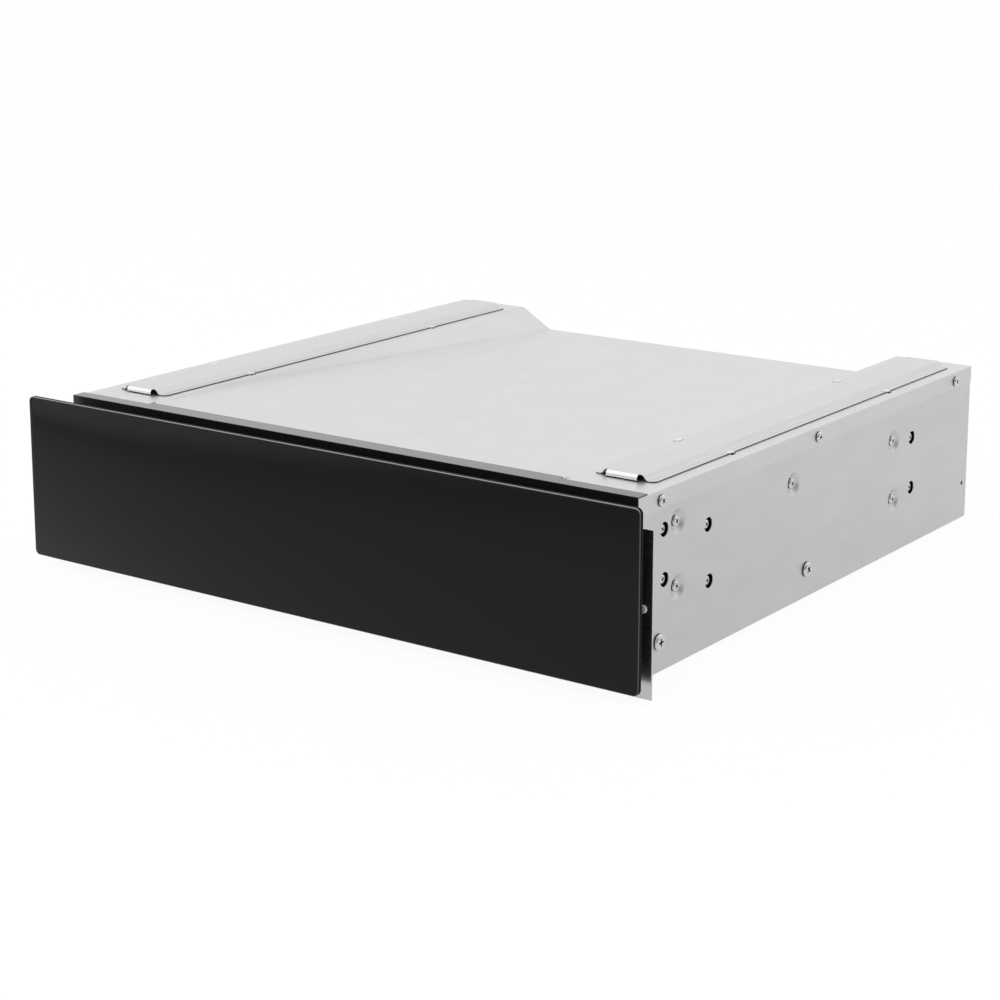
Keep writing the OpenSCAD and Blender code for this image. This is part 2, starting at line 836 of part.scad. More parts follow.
// The ball cages: the outer one moves a quarter as far as the drawer, the inner one three quarters
outer_cage_share = 0.448;
inner_cage_share = 0.402;
outer_cage_y = runner_y + outer_cage_share * runner_l;
inner_cage_y = runner_y + inner_cage_share * runner_l;
module cage_shape(web_u, mouth_u, y0, ball_z, ball_u, t) {
    in_runner()
        difference() {
            channel(web_u, mouth_u, y0, y0 + cage_l, ball_z + t / 2, t);
            for (y = ball_ys(y0))
                bar_z(-ball_z - t, ball_z + t, ball_u, y, ball_r + ball_play, small_fn);
        }
}
module ball_shapes(y0, ball_z, ball_u) {
    in_runner()
        for (y = ball_ys(y0))
            for (side = [-1, 1])
                translate([ball_u, y, side * ball_z])
                    sphere(r = ball_r, $fn = small_fn);
}
module outer_cage_shape()
    cage_shape(outer_cage_web, outer_mouth - cage_mouth_play, outer_cage_y, outer_ball, outer_ball_u,
        cage_t);
module inner_cage_shape()
    cage_shape(inner_cage_web, middle_mouth - cage_mouth_play, inner_cage_y, inner_ball, inner_ball_u,
        inner_cage_t);
module outer_cage_right()
    placed("lightsteelblue")
        outer_cage_shape();
module outer_cage_left()
    placed("lightsteelblue")
        left_hand()
            outer_cage_shape();
module inner_cage_right()
    placed("lightsteelblue")
        inner_cage_shape();
module inner_cage_left()
    placed("lightsteelblue")
        left_hand()
            inner_cage_shape();
module outer_balls_right()
    placed("whitesmoke")
        ball_shapes(outer_cage_y, outer_ball, outer_ball_u);
module outer_balls_left()
    placed("whitesmoke")
        left_hand()
            ball_shapes(outer_cage_y, outer_ball, outer_ball_u);
module inner_balls_right()
    placed("whitesmoke")
        ball_shapes(inner_cage_y, inner_ball, inner_ball_u);
module inner_balls_left()
    placed("whitesmoke")
        left_hand()
            ball_shapes(inner_cage_y, inner_ball, inner_ball_u);

// Screws of the housing
module cover_screws()
    placed("lightgrey") {
        both_sides()
            for (share = cover_screw_shares)
                screw_in_x(cover_out, share * body_d, cover_screw_z, cover_screw_r, 2 * sheet_t + screw_tail,
                    cover_head_r, cover_head_h);
        for (x = rear_screw_xs)
            translate([x, body_d, cover_screw_z])
                rotate([-90, 0, 0])
                    screw(cover_screw_r, 2 * sheet_t + screw_tail, cover_head_r, cover_head_h);
    }
module base_screws()
    placed("lightgrey")
        both_sides()
            for (share = base_screw_shares)
                screw_in_x(side_out, share * body_d, base_screw_z, base_screw_r, 2 * sheet_t + screw_tail,
                    base_head_r, base_head_h);
module bracket_screws()
    placed("lightgrey")
        both_sides()
            for (share = dimple_shares) {
                at = on_side(share);
                screw_in_x(side_out - dimple_depth, at[0], at[1], bracket_screw_r,
                    sheet_t + bracket_t + carrier_t - run_play, bracket_head_r, bracket_head_h);
            }
module carrier_screws()
    placed("lightgrey")
        both_sides()
            for (share = access_shares) {
                at = on_side(share);
                screw_in_x(bracket_out, at[0], at[1], carrier_screw_r,
                    bracket_t + carrier_t + runner_t + 2 * run_play, carrier_head_r, carrier_head_h);
            }

// Rubber buffers in the front flanges that the steel plate closes against
buffer_r = 4;
buffer_stem_r = 2;
buffer_tail = 2.5;
buffer_x = front_flange_in + front_flange_w / 2;
buffer_shares = [0.15, 0.80];
buffer_zs = [for (share = buffer_shares) share * body_h];
module stop_buffers()
    placed("#1c1c1c")
        both_sides()
            for (z = buffer_zs)
                translate([buffer_x, 0, z])
                    rotate([90, 0, 0])
                        rotate_extrude($fn = round_fn)
                            polygon([[0, -sheet_t - buffer_tail], [buffer_stem_r, -sheet_t - buffer_tail],
                                [buffer_stem_r, 0], [buffer_r, 0],
                                [buffer_r, -tray_front - run_play - buffer_stem_r / 2],
                                [buffer_r - buffer_stem_r / 2, -tray_front - run_play],
                                [0, -tray_front - run_play]]);

// The fan: a scroll housing with an air duct to the partition, and a long drum impeller
fan_wall = 1;
fan_air = 3;
fan_rear_gap = 4;
fan_y = back_in - fan_rear_gap - fan_wall - fan_air - fan_r;
fan_shaft_r = 2;
duct_y = partition_y + sheet_t;
module fan_housing_shape() {
    shell_r = fan_r + fan_air;
    difference() {
        union() {
            for (x = [duct_x0, duct_x1 - duct_wall])
                slab(x, x + duct_wall, duct_y, fan_y + shell_r + fan_wall, sheet_t,
                    fan_z + shell_r + fan_wall);
            difference() {
                bar_x(duct_x0, duct_x1, fan_y, fan_z, shell_r + fan_wall);
                bar_x(duct_x0 + duct_wall, duct_x1 - duct_wall, fan_y, fan_z, shell_r);
                slab(duct_x0 + duct_wall, duct_x1 - duct_wall, fan_y - shell_r - 2 * fan_wall, fan_y,
                    duct_z0 + duct_wall, fan_z + shell_r + 2 * fan_wall);
            }
            slab(duct_x0, duct_x1, duct_y, fan_y - sqrt(pow(shell_r, 2) - pow(fan_z - duct_z0, 2)), duct_z0,
                duct_z0 + duct_wall);
            slab(duct_x0, duct_x1, duct_y, fan_y - shell_r, duct_z1 - duct_wall, duct_z1);
        }
        bar_x(duct_x0 - over, duct_x1 + over, fan_y, fan_z, fan_shaft_r + shaft_play);
        for (side = [-1, 1])
            bar_x(duct_x0 - over, duct_x0 + duct_wall + over, heater_y, heater_z + side * heater_pitch / 2,
                heater_r);
    }
}
module fan_housing()
    placed("lightgrey")
        fan_housing_shape();

motor_gap = 4;
motor_l = 14;
motor_d = 46;
motor_h = 44;
rotor_r = 9.5;
rotor_air = 0.5;
motor_bolt_r = 2;
motor_bolt_inset = 6;
coil_r = 9;
motor_x = duct_x1 + motor_gap;
module fan_motor_shape() {
    y0 = fan_y - motor_d / 2;
    z0 = fan_z - motor_h / 2;
    difference() {
        union() {
            slab(motor_x, motor_x + motor_l, y0, y0 + motor_d, z0, z0 + motor_h);
            bar_x(motor_x - motor_gap / 2, motor_x + motor_l + motor_gap / 2, y0 + coil_r, fan_z,
                coil_r / 2);
        }
        bar_x(motor_x - motor_gap, motor_x + motor_l + motor_gap, fan_y, fan_z, rotor_r + rotor_air);
    }
    for (y = [y0 + motor_bolt_inset, y0 + motor_d - motor_bolt_inset])
        bar_x(duct_x1, motor_x + motor_l + motor_gap, y, fan_z + motor_h / 2 - motor_bolt_inset,
            motor_bolt_r);
    difference() {
        slab(motor_x + motor_l + motor_gap, motor_x + motor_l + motor_gap + duct_wall, y0, y0 + motor_d,
            fan_z - coil_r, z0 + motor_h);
        bar_x(motor_x, motor_x + motor_l + 3 * motor_gap, fan_y, fan_z, fan_shaft_r + shaft_play);
    }
}
module fan_motor()
    placed("dimgray")
        fan_motor_shape();

module fan_rotor()
    placed("silver")
        difference() {
            bar_x(motor_x - rotor_air, motor_x + motor_l + rotor_air, fan_y, fan_z, rotor_r);
            bar_x(motor_x - motor_gap, motor_x + motor_l + motor_gap, fan_y, fan_z, fan_shaft_r);
        }

blade_t = 0.8;
blade_w = 4.6;
blade_turn = 32;
module fan_impeller_shape() {
    x0 = fan_x - fan_l / 2;
    x1 = fan_x + fan_l / 2;
    bar_x(duct_x0 - motor_gap, motor_x + motor_l + 2 * motor_gap, fan_y, fan_z, fan_shaft_r);
    for (x = [x0, fan_x - duct_wall / 2, x1 - duct_wall])
        bar_x(x, x + duct_wall, fan_y, fan_z, fan_r);
    translate([x0, fan_y, fan_z])
        for (i = [0 : fan_blades - 1])
            rotate([i * 360 / fan_blades, 0, 0])
                translate([0, 0, fan_r - blade_w])
                    rotate([blade_turn, 0, 0])
                        slab(0, fan_l, -blade_t / 2, blade_t / 2, 0, blade_w);
}
module fan_impeller()
    placed("slategray")
        fan_impeller_shape();

// The tubular heater across the duct, with its terminals outside the end plate
heater_gap = 10;
heater_y = duct_y + heater_gap;
heater_z = (duct_z0 + duct_z1) / 2;
heater_pin_r = 1.2;
heater_pin_l = 8;
heater_tail = 6;
module heater_element()
    placed("#4a4038") {
        bend_x = duct_x1 - duct_wall - heater_r - heater_pitch / 2 - fan_air;
        for (side = [-1, 1]) {
            z = heater_z + side * heater_pitch / 2;
            bar_x(duct_x0 - heater_tail, bend_x, heater_y, z, heater_r);
            bar_x(duct_x0 - heater_tail - heater_pin_l, duct_x0 - heater_tail, heater_y, z, heater_pin_r);
        }
        translate([bend_x, heater_y, heater_z])
            rotate([90, 0, 0])
                rotate([0, 0, -90])
                    rotate_extrude(angle = 180, $fn = round_fn)
                        translate([heater_pitch / 2, 0])
                            circle(r = heater_r, $fn = round_fn);
    }

// The temperature limiter on the rear face of the partition
limiter_x = 118;
limiter_z = 60;
limiter_r = 8;
limiter_h = 9;
limiter_ear = 14;
module temperature_limiter()
    placed("#e8e0d0") {
        bar_y(duct_y, duct_y + limiter_h, limiter_x, limiter_z, limiter_r);
        slab(limiter_x - limiter_ear, limiter_x + limiter_ear, duct_y, duct_y + duct_wall,
            limiter_z - limiter_r / 2, limiter_z + limiter_r / 2);
        for (side = [-1, 1])
            slab(limiter_x + side * limiter_r / 2 - duct_wall, limiter_x + side * limiter_r / 2 + duct_wall,
                duct_y + limiter_h, duct_y + limiter_h + limiter_r, limiter_z - duct_wall / 2,
                limiter_z + duct_wall / 2);
    }

// The mains terminal block on the base, and the gland in the rear sheet
terminal_l = 44;
terminal_d = 22;
terminal_h = 18;
terminal_ways = 3;
terminal_hole_r = 2.6;
terminal_aside = 4;
terminal_ahead = 60;
terminal_x = gland_x + terminal_aside;
terminal_y = back_in - terminal_ahead;
module terminal_block()
    placed("whitesmoke")
        difference() {
            slab(terminal_x - terminal_l / 2, terminal_x + terminal_l / 2, terminal_y,
                terminal_y + terminal_d, sheet_t, sheet_t + terminal_h);
            for (i = [0 : terminal_ways - 1])
                bar_z(sheet_t + terminal_h / 3, sheet_t + terminal_h + over,
                    terminal_x + (i - (terminal_ways - 1) / 2) * terminal_l / terminal_ways,
                    terminal_y + terminal_d * 0.7, terminal_hole_r);
        }
gland_flange_r = 9;
gland_flange_t = 3;
gland_nut_t = 4;
gland_nut_r = 8.1;
module cable_gland()
    placed("#26262a")
        difference() {
            union() {
                bar_y(back_in - gland_nut_t, back_out + gland_flange_t, gland_x, gland_z, gland_r);
                bar_y(back_out, back_out + gland_flange_t, gland_x, gland_z, gland_flange_r);
                bar_y(back_in - gland_nut_t, back_in, gland_x, gland_z, gland_nut_r, 6);
            }
            bar_y(back_in - gland_nut_t - over, back_out + gland_flange_t + over, gland_x, gland_z,
                gland_bore_r);
        }

// The wiring loom from the terminal block up and forward to the control board, and its clips
loom_r = 3.5;
loom_bend = 12;
// Distance of the loom from the end and the front of the terminal block, and above the roof
loom_end_gap = 2;
loom_side_gap = 1;
loom_rise = 9;
loom_x = terminal_x - terminal_l / 2 + loom_r + loom_end_gap;
loom_y = terminal_y + loom_r + loom_side_gap;
loom_z = roof_z + loom_rise;
loom_front_y = 48;
board_x = 62;
module elbow(r_bend, r_tube)
    rotate_extrude(angle = 90, $fn = round_fn)
        translate([r_bend, 0])
            circle(r = r_tube, $fn = small_fn);
module wire_loom()
    placed("#3a3a3c") {
        bar_z(sheet_t + terminal_h, loom_z - loom_bend, loom_x, loom_y, loom_r, small_fn);
        translate([loom_x, loom_y - loom_bend, loom_z - loom_bend])
            rotate([90, 0, 90])
                elbow(loom_bend, loom_r);
        bar_y(loom_front_y + loom_bend, loom_y - loom_bend, loom_x, loom_z, loom_r, small_fn);
        translate([loom_x + loom_bend, loom_front_y + loom_bend, loom_z])
            rotate([0, 0, 180])
                elbow(loom_bend, loom_r);
        bar_x(loom_x + loom_bend, board_x, loom_front_y, loom_z, loom_r, small_fn);
    }
clip_w = 6;
clip_t = 1.2;
clip_shares = [0.25, 0.6, 0.88];
module loom_clip() {
    difference() {
        union() {
            bar_y(-clip_w / 2, clip_w / 2, 0, 0, loom_r + clip_t, small_fn);
            slab(-clip_t, clip_t, -clip_w / 2, clip_w / 2, roof_z - loom_z, -loom_r);
            slab(-loom_r - clip_t, loom_r + clip_t, -clip_w / 2, clip_w / 2, roof_z - loom_z,
                roof_z - loom_z + clip_t);
        }
        bar_y(-clip_w, clip_w, 0, 0, loom_r, small_fn);
    }
}
module loom_clips()
    placed("whitesmoke") {
        for (share = clip_shares)
            translate([loom_x, share * partition_y, loom_z])
                loom_clip();
        translate([(loom_x + board_x) / 2, loom_front_y, loom_z])
            rotate([0, 0, 90])
                loom_clip();
    }

// The control board on four posts on the roof, with its larger parts
board_w = 158;
board_y = 22;
board_d = 50;
board_t = 1.6;
board_post_h = 5;
board_post_r = 2.5;
board_inset = 6;
connector_w = 12;
connector_d = 7;
connector_h = 8;
control_xs = [knob_x, lamp_x, switch_x];
// Parts on the board: place and size across and along, as shares of the board's width and depth,
// and height, as a share of the connectors' height
board_part_shares = [[0.22, 0.55, 0.127, 0.44, 1.25], [0.40, 0.52, 0.101, 0.26, 1.25],
    [0.58, 0.60, 0.101, 0.26, 1.25], [0.72, 0.55, 0.063, 0.20, 1]];
module control_board()
    placed("darkgreen") {
        z0 = roof_z + board_post_h;
        z1 = z0 + board_t;
        difference() {
            slab(board_x, board_x + board_w, board_y, board_y + board_d, z0, z1);
            slab(board_x - over, board_x + loom_r, loom_front_y - loom_r, loom_front_y + loom_r, z0 - over,
                z1 + over);
        }
        for (x = [board_x + board_inset, board_x + board_w - board_inset])
            for (y = [board_y + board_inset, board_y + board_d - board_inset])
                bar_z(roof_z, z0, x, y, board_post_r, small_fn);
        for (share = board_part_shares) {
            x = board_x + share[0] * board_w;
            y = board_y + share[1] * board_d;
            half_w = share[2] * board_w / 2;
            half_d = share[3] * board_d / 2;
            slab(x - half_w, x + half_w, y - half_d, y + half_d, z1, z1 + share[4] * connector_h);
        }
        for (x = control_xs)
            slab(x - connector_w / 2, x + connector_w / 2, board_y, board_y + connector_d, z1,
                z1 + connector_h);
    }
lead_r = 1;
lead_pitch = 4;
module control_leads()
    placed("firebrick")
        for (x = control_xs)
            for (side = [-1, 1])
                bar_y(control_rear, board_y, x + side * lead_pitch / 2, control_z, lead_r, small_fn);

// The controls behind the trim: selector, pilot lamp and rocker switch
control_rear = 12;
selector_r = 7.5;
selector_shaft_r = 2;
module selector_body()
    placed("#3c5a78")
        difference() {
            union() {
                bar_y(sheet_t, control_rear, knob_x, control_z, selector_r);
                bar_y(-sheet_t, sheet_t + over, knob_x, control_z, bush_r);
            }
            bar_y(-sheet_t - over, control_rear - 2 * sheet_t, knob_x, control_z,
                selector_shaft_r + shaft_play);
        }
shaft_reach_share = 0.7;
module selector_shaft()
    placed("silver")
        bar_y(-sheet_t - knob_l * shaft_reach_share, control_rear - 3 * sheet_t, knob_x, control_z,
            selector_shaft_r);
knob_line_w = 0.8;
knob_flutes = 12;
knob_flute_r = 0.6;
module temperature_knob()
    placed("#2a2a2c")
        difference() {
            bar_y(-sheet_t - run_play - knob_l, -sheet_t - run_play, knob_x, control_z, knob_r);
            bar_y(-sheet_t - knob_l * shaft_reach_share, 0, knob_x, control_z, selector_shaft_r);
            slab(knob_x - knob_line_w / 2, knob_x + knob_line_w / 2, -sheet_t - knob_l - over,
                -sheet_t - knob_l - run_play + knob_line_w / 2, control_z, control_z + knob_r);
            for (i = [0 : knob_flutes - 1])
                translate([knob_x, 0, control_z])
                    rotate([0, i * 360 / knob_flutes, 0])
                        bar_y(-sheet_t - knob_l - over, -sheet_t - knob_l / 3, knob_r + knob_flute_r / 2, 0,
                            knob_flute_r, small_fn);
        }
module pilot_lamp()
    placed("orangered") {
        bar_y(-sheet_t, control_rear, lamp_x, control_z, lamp_r);
        translate([lamp_x, -sheet_t, control_z])
            rotate([90, 0, 0])
                cylinder(h = lamp_r / 2, r1 = lamp_r, r2 = lamp_r * 0.7, $fn = round_fn);
        bar_y(sheet_t, 2 * sheet_t, lamp_x, control_z, lamp_r * 1.4);
    }
switch_bezel_t = 0.8;
rocker_pin_r = 0.9;
module switch_body()
    placed("#1e1e20")
        difference() {
            union() {
                slab(switch_x - switch_w / 2, switch_x + switch_w / 2, -sheet_t - switch_bezel_t, -sheet_t,
                    control_z - switch_h / 2, control_z + switch_h / 2);
                slab(switch_x - switch_w / 2 + switch_wall, switch_x + switch_w / 2 - switch_wall, -sheet_t,
                    control_rear, control_z - switch_h / 2 + switch_wall,
                    control_z + switch_h / 2 - switch_wall);
            }
            slab(switch_x - switch_w / 2 + 2 * switch_wall, switch_x + switch_w / 2 - 2 * switch_wall,
                -sheet_t - switch_bezel_t - over, control_rear - switch_wall,
                control_z - switch_h / 2 + 2 * switch_wall, control_z + switch_h / 2 - 2 * switch_wall);
            bar_x(switch_x - switch_w / 2 + switch_wall / 2 + switch_wall, switch_x + switch_w / 2 -
                switch_wall / 2 - switch_wall, rocker_y, control_z, rocker_pin_r + shaft_play, small_fn);
        }
rocker_y = 1.2;
rocker_tilt = 7;
rocker_rise = 2.2;
module switch_rocker()
    placed("#d8d8da")
        translate([switch_x, rocker_y, control_z])
            rotate([rocker_tilt, 0, 0]) {
                half_w = switch_w / 2 - 2 * switch_wall - run_play;
                reach = rocker_y + sheet_t + rocker_rise;
                half_h = switch_h / 2 - 2 * switch_wall - run_play - reach * sin(rocker_tilt);
                slab(-half_w, half_w, -reach, rocker_pin_r, -half_h, half_h);
                bar_x(-half_w - switch_wall / 2, half_w + switch_wall / 2, 0, 0, rocker_pin_r, small_fn);
            }

// The drawer's tray, open at the top, with slots in its rear wall
tray_rim_w = 6;
tray_slot_w = 26;
tray_slot_h = 4;
tray_slot_pitch = 36;
tray_slot_count = 12;
tray_slot_rows_shares = [0.25, 0.72];
module tray_shape() {
    inner = tray_out - tray_t;
    difference() {
        slab(-tray_out, tray_out, tray_front, tray_back, tray_z, tray_top);
        slab(-inner, inner, tray_front + tray_t, tray_back - tray_t, tray_z + tray_t, tray_top - tray_t);
        slab(-inner + tray_rim_w, inner - tray_rim_w, tray_front + tray_rim_w, tray_back - tray_rim_w,
            tray_top - tray_t - over, tray_top + over);
        for (row = tray_slot_rows_shares)
            for (i = [0 : tray_slot_count - 1]) {
                x = (i - (tray_slot_count - 1) / 2) * tray_slot_pitch;
                z = tray_z + row * (tray_top - tray_z);
                slab(x - tray_slot_w / 2, x + tray_slot_w / 2, tray_back - tray_t - over, tray_back + over,
                    z, z + tray_slot_h);
            }
        both_sides() {
            for (share = tray_screw_shares)
                bar_x(inner - over, tray_out + over, tray_screw_y(share), runner_z,
                    tray_screw_r + thread_play);
            for (share = plate_screw_shares)
                bar_y(tray_front - over, tray_front + tray_t + over, plate_screw_x,
                    plate_z + share * plate_h, plate_screw_r + thread_play);
            bar_y(tray_front - over, tray_front + tray_t + over, rivet_x_share * front_w,
                plate_z + rivet_z_share * plate_h, plate_rivet_head_r + run_play);
        }
    }
}
module tray()
    placed("lightgrey")
        tray_shape();

mat_inset = 3;
mat_rib_pitch = 42;
mat_rib_w = 3;
mat_rib_h = 0.6;
module tray_mat()
    placed("#2e2e30") {
        w = 2 * (tray_out - tray_t - mat_inset);
        y0 = tray_front + tray_t + mat_inset;
        y1 = tray_back - tray_t - mat_inset;
        z0 = tray_z + tray_t;
        translate([-w / 2, y0, z0])
            linear_extrude(height = mat_t)
                round_rect(w, y1 - y0, mat_corner_r);
        for (i = [0 : floor((w - 2 * mat_corner_r) / mat_rib_pitch)]) {
            x = -w / 2 + mat_corner_r + i * mat_rib_pitch;
            slab(x, x + mat_rib_w, y0 + mat_corner_r, y1 - mat_corner_r, z0, z0 + mat_t + mat_rib_h);
        }
    }

// The steel plate that closes the drawer, with the rivets and screws that it carries
plate_screw_aside = 36;
plate_screw_x = glass_bracket_x - plate_screw_aside;
plate_screw_shares = [0.25, 0.80];
plate_screw_r = 2;
plate_head_r = 4;
plate_head_h = 1.8;
rivet_x_share = 0.487;
rivet_z_share = 0.532;
plate_rivet_r = 1.6;
plate_rivet_head_r = 3;
plate_rivet_head_h = 1.2;
module front_plate()
    placed("silver")
        difference() {
            slab(-front_w / 2, front_w / 2, -plate_reach, tray_front, plate_z, plate_top);
            both_sides() {
                bar_y(-plate_reach - over, tray_front + over, rivet_x_share * front_w,
                    plate_z + rivet_z_share * plate_h, plate_rivet_r + thread_play);
                for (share = plate_screw_shares)
                    bar_y(-plate_reach - over, tray_front + over, plate_screw_x,
                        plate_z + share * plate_h, plate_screw_r + thread_play);
            }
        }
module plate_rivets()
    placed("whitesmoke")
        both_sides()
            translate([rivet_x_share * front_w, 0, plate_z + rivet_z_share * plate_h]) {
                bar_y(-plate_reach, tray_front + plate_rivet_head_h, 0, 0, plate_rivet_r, small_fn);
                translate([0, -plate_reach, 0])
                    rotate([90, 0, 0])
                        cylinder(h = plate_rivet_head_h, r1 = plate_rivet_head_r,
                            r2 = plate_rivet_head_r * head_top_share, $fn = small_fn);
                bar_y(tray_front, tray_front + plate_rivet_head_h, 0, 0, plate_rivet_head_r, small_fn);
            }

// The brackets that hold the glass in front of the plate
glass_bracket_z_shares = [0.09, 0.93];
module glass_bracket(x, facing) {
    z0 = plate_z + glass_bracket_z_shares[0] * plate_h;
    z1 = plate_z + glass_bracket_z_shares[1] * plate_h;
    t = glass_bracket_t;
    half = glass_bracket_w / 2;
    translate([x, 0, z0])
        mirror([facing, 0, 0])
            linear_extrude(height = z1 - z0)
                polygon([[-half, -plate_reach], [half, -plate_reach], [half, glass_back],
                    [-half, glass_back], [-half, glass_back + t], [half - t, glass_back + t],
                    [half - t, -plate_reach - t], [-half, -plate_reach - t]]);
}
module glass_brackets()
    placed("#303034") {
        glass_bracket(0, 0);
        glass_bracket(glass_bracket_x, 0);
        glass_bracket(-glass_bracket_x, 1);
    }

module front_glass()
    placed("#28282b")
        translate([-front_w / 2, glass_back, glass_z])
            rotate([90, 0, 0])
                linear_extrude(height = glass_t)
                    round_rect(front_w, glass_h, glass_corner_r);

// The screws that hold the plate to the tray, and the tray to the runners
module tray_screws()
    placed("lightgrey")
        both_sides() {
            for (share = plate_screw_shares)
                translate([plate_screw_x, tray_front + tray_t, plate_z + share * plate_h])
                    rotate([-90, 0, 0])
                        screw(plate_screw_r, tray_t + plate_t + screw_tail, plate_head_r, plate_head_h);
            for (share = tray_screw_shares)
                translate([tray_out - tray_t, tray_screw_y(share), runner_z])
                    rotate([0, -90, 0])
                        screw(tray_screw_r, tray_t + runner_t + screw_tail / 2, tray_head_r, tray_head_h);
        }

housing_base();
housing_side_left();
housing_side_right();
housing_back();
housing_top();
front_trim();
oven_rail_left();
oven_rail_right();
inner_roof();
rear_partition();
runner_bracket_left();
runner_bracket_right();
runner_carrier_left();
runner_carrier_right();
runner_outer_left();
runner_outer_right();
cover_screws();
base_screws();
bracket_screws();
carrier_screws();
stop_buffers();
heater_element();
fan_housing();
fan_motor();
temperature_limiter();
terminal_block();
cable_gland();
wire_loom();
loom_clips();
control_board();
control_leads();
selector_body();
switch_body();
pilot_lamp();
tray();
tray_mat();
front_plate();
plate_rivets();
glass_brackets();
front_glass();
tray_screws();
runner_inner_left();
runner_inner_right();
runner_middle_left();
runner_middle_right();
outer_cage_left();
outer_cage_right();
inner_cage_left();
inner_cage_right();
outer_balls_left();
outer_balls_right();
inner_balls_left();
inner_balls_right();
fan_impeller();
fan_rotor();
selector_shaft();
temperature_knob();
switch_rocker();
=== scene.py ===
import math
import bpy
from mathutils import Matrix, Vector


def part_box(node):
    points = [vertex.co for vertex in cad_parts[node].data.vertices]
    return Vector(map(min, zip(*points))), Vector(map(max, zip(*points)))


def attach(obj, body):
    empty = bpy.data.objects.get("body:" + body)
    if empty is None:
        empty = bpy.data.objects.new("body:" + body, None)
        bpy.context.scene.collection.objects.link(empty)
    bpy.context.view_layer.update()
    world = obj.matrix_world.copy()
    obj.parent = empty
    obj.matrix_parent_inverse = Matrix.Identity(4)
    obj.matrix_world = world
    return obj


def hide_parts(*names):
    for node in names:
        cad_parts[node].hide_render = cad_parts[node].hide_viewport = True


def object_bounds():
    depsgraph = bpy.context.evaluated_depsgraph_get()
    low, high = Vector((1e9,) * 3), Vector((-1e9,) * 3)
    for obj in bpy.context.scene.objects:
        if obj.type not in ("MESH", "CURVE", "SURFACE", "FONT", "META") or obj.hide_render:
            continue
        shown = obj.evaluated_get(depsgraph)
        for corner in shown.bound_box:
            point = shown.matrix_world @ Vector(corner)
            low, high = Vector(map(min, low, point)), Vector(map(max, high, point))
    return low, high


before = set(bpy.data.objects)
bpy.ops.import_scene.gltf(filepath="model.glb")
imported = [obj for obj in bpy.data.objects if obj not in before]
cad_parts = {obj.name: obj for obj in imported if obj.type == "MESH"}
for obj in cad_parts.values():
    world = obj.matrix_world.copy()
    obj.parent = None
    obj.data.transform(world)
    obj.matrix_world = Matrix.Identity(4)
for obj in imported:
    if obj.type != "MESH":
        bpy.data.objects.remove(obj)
cad_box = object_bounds()
bpy.ops.object.select_all(action="DESELECT")

# Camera: a short telephoto lens from the front right, a little above the drawer, as in the photograph.
camera = bpy.data.cameras.new("photo_camera")
camera.lens = 85.03
camera.sensor_width = 36
camera.shift_y = -0.12
camera.clip_end = 60
camera_object = bpy.data.objects.new("photo_camera", camera)
camera_object.location = (1.1236, -1.6134, 0.5684)
camera_object.rotation_euler = (math.radians(77.6), 0, math.radians(35.743))
bpy.context.collection.objects.link(camera_object)
bpy.context.scene.camera = camera_object

# Galvanised sheets: sides, base, rear and the folded parts inside, from 0.8 mm hot-dip galvanised
# steel. They are punched and bent on a press brake, so every fold has a small radius and every cut
# edge is eased a little by the punch.


def linear(hexa):
    """Turns an sRGB hex colour to the linear values that a shader takes."""
    parts = [int(hexa[i:i + 2], 16) / 255 for i in (1, 3, 5)]
    return [p / 12.92 if p <= 0.04045 else ((p + 0.055) / 1.055) ** 2.4 for p in parts] + [1]


def add(mat, kind, inputs=None, **settings):
    """Adds a node with its settings, and with each input's value or the socket that feeds it."""
    node = mat.node_tree.nodes.new("ShaderNode" + kind)
    for key, value in settings.items():
        setattr(node, key, value)
    for key, value in (inputs or {}).items():
        if isinstance(value, bpy.types.NodeSocket):
            mat.node_tree.links.new(value, node.inputs[key])
        else:
            node.inputs[key].default_value = value
    return node


def material(name, **sockets):
    """Starts a material from its shader's own values; an underscore stands for a blank."""
    mat = bpy.data.materials.new(name)
    mat.use_nodes = True
    shader = mat.node_tree.nodes["Principled BSDF"]
    for key, value in sockets.items():
        shader.inputs[key.replace("_", " ")].default_value = value
    return mat, shader


def grained(mat, scale, stretch=(1, 1, 1), detail=2):
    """Spreads noise over the piece in its real size, drawn out where a stretch is under 1."""
    place = add(mat, "TexCoord").outputs["Object"]
    drawn = add(mat, "Mapping", {"Vector": place, "Scale": stretch}).outputs[0]
    return add(mat, "TexNoise", {"Vector": drawn, "Scale": scale, "Detail": detail}).outputs["Fac"]


def tinted(mat, shader, pattern, low, high, start=0.3, end=0.7):
    """Colours the surface from one hex value to another along a pattern."""
    ramp = add(mat, "ValToRGB", {"Fac": pattern})
    for stop, position, colour in zip(ramp.color_ramp.elements, (start, end), (low, high)):
        stop.position = position
        stop.color = linear(colour)
    mat.node_tree.links.new(ramp.outputs[0], shader.inputs["Base Color"])


def glossed(mat, shader, pattern, low, high):
    """Varies the roughness between two values along a pattern."""
    gloss = add(mat, "MapRange", {"Value": pattern, "From Min": 0.3, "From Max": 0.7,
                                  "To Min": low, "To Max": high})
    mat.node_tree.links.new(gloss.outputs[0], shader.inputs["Roughness"])


def embossed(mat, shader, pattern, strength, depth_m):
    """Raises a pattern by a depth in metres."""
    relief = add(mat, "Bump", {"Height": pattern, "Strength": strength, "Distance": depth_m})
    mat.node_tree.links.new(relief.outputs[0], shader.inputs["Normal"])


def only(piece):
    """Makes a piece the one that the next operators act on."""
    bpy.ops.object.select_all(action="DESELECT")
    piece.select_set(True)
    bpy.context.view_layer.objects.active = piece


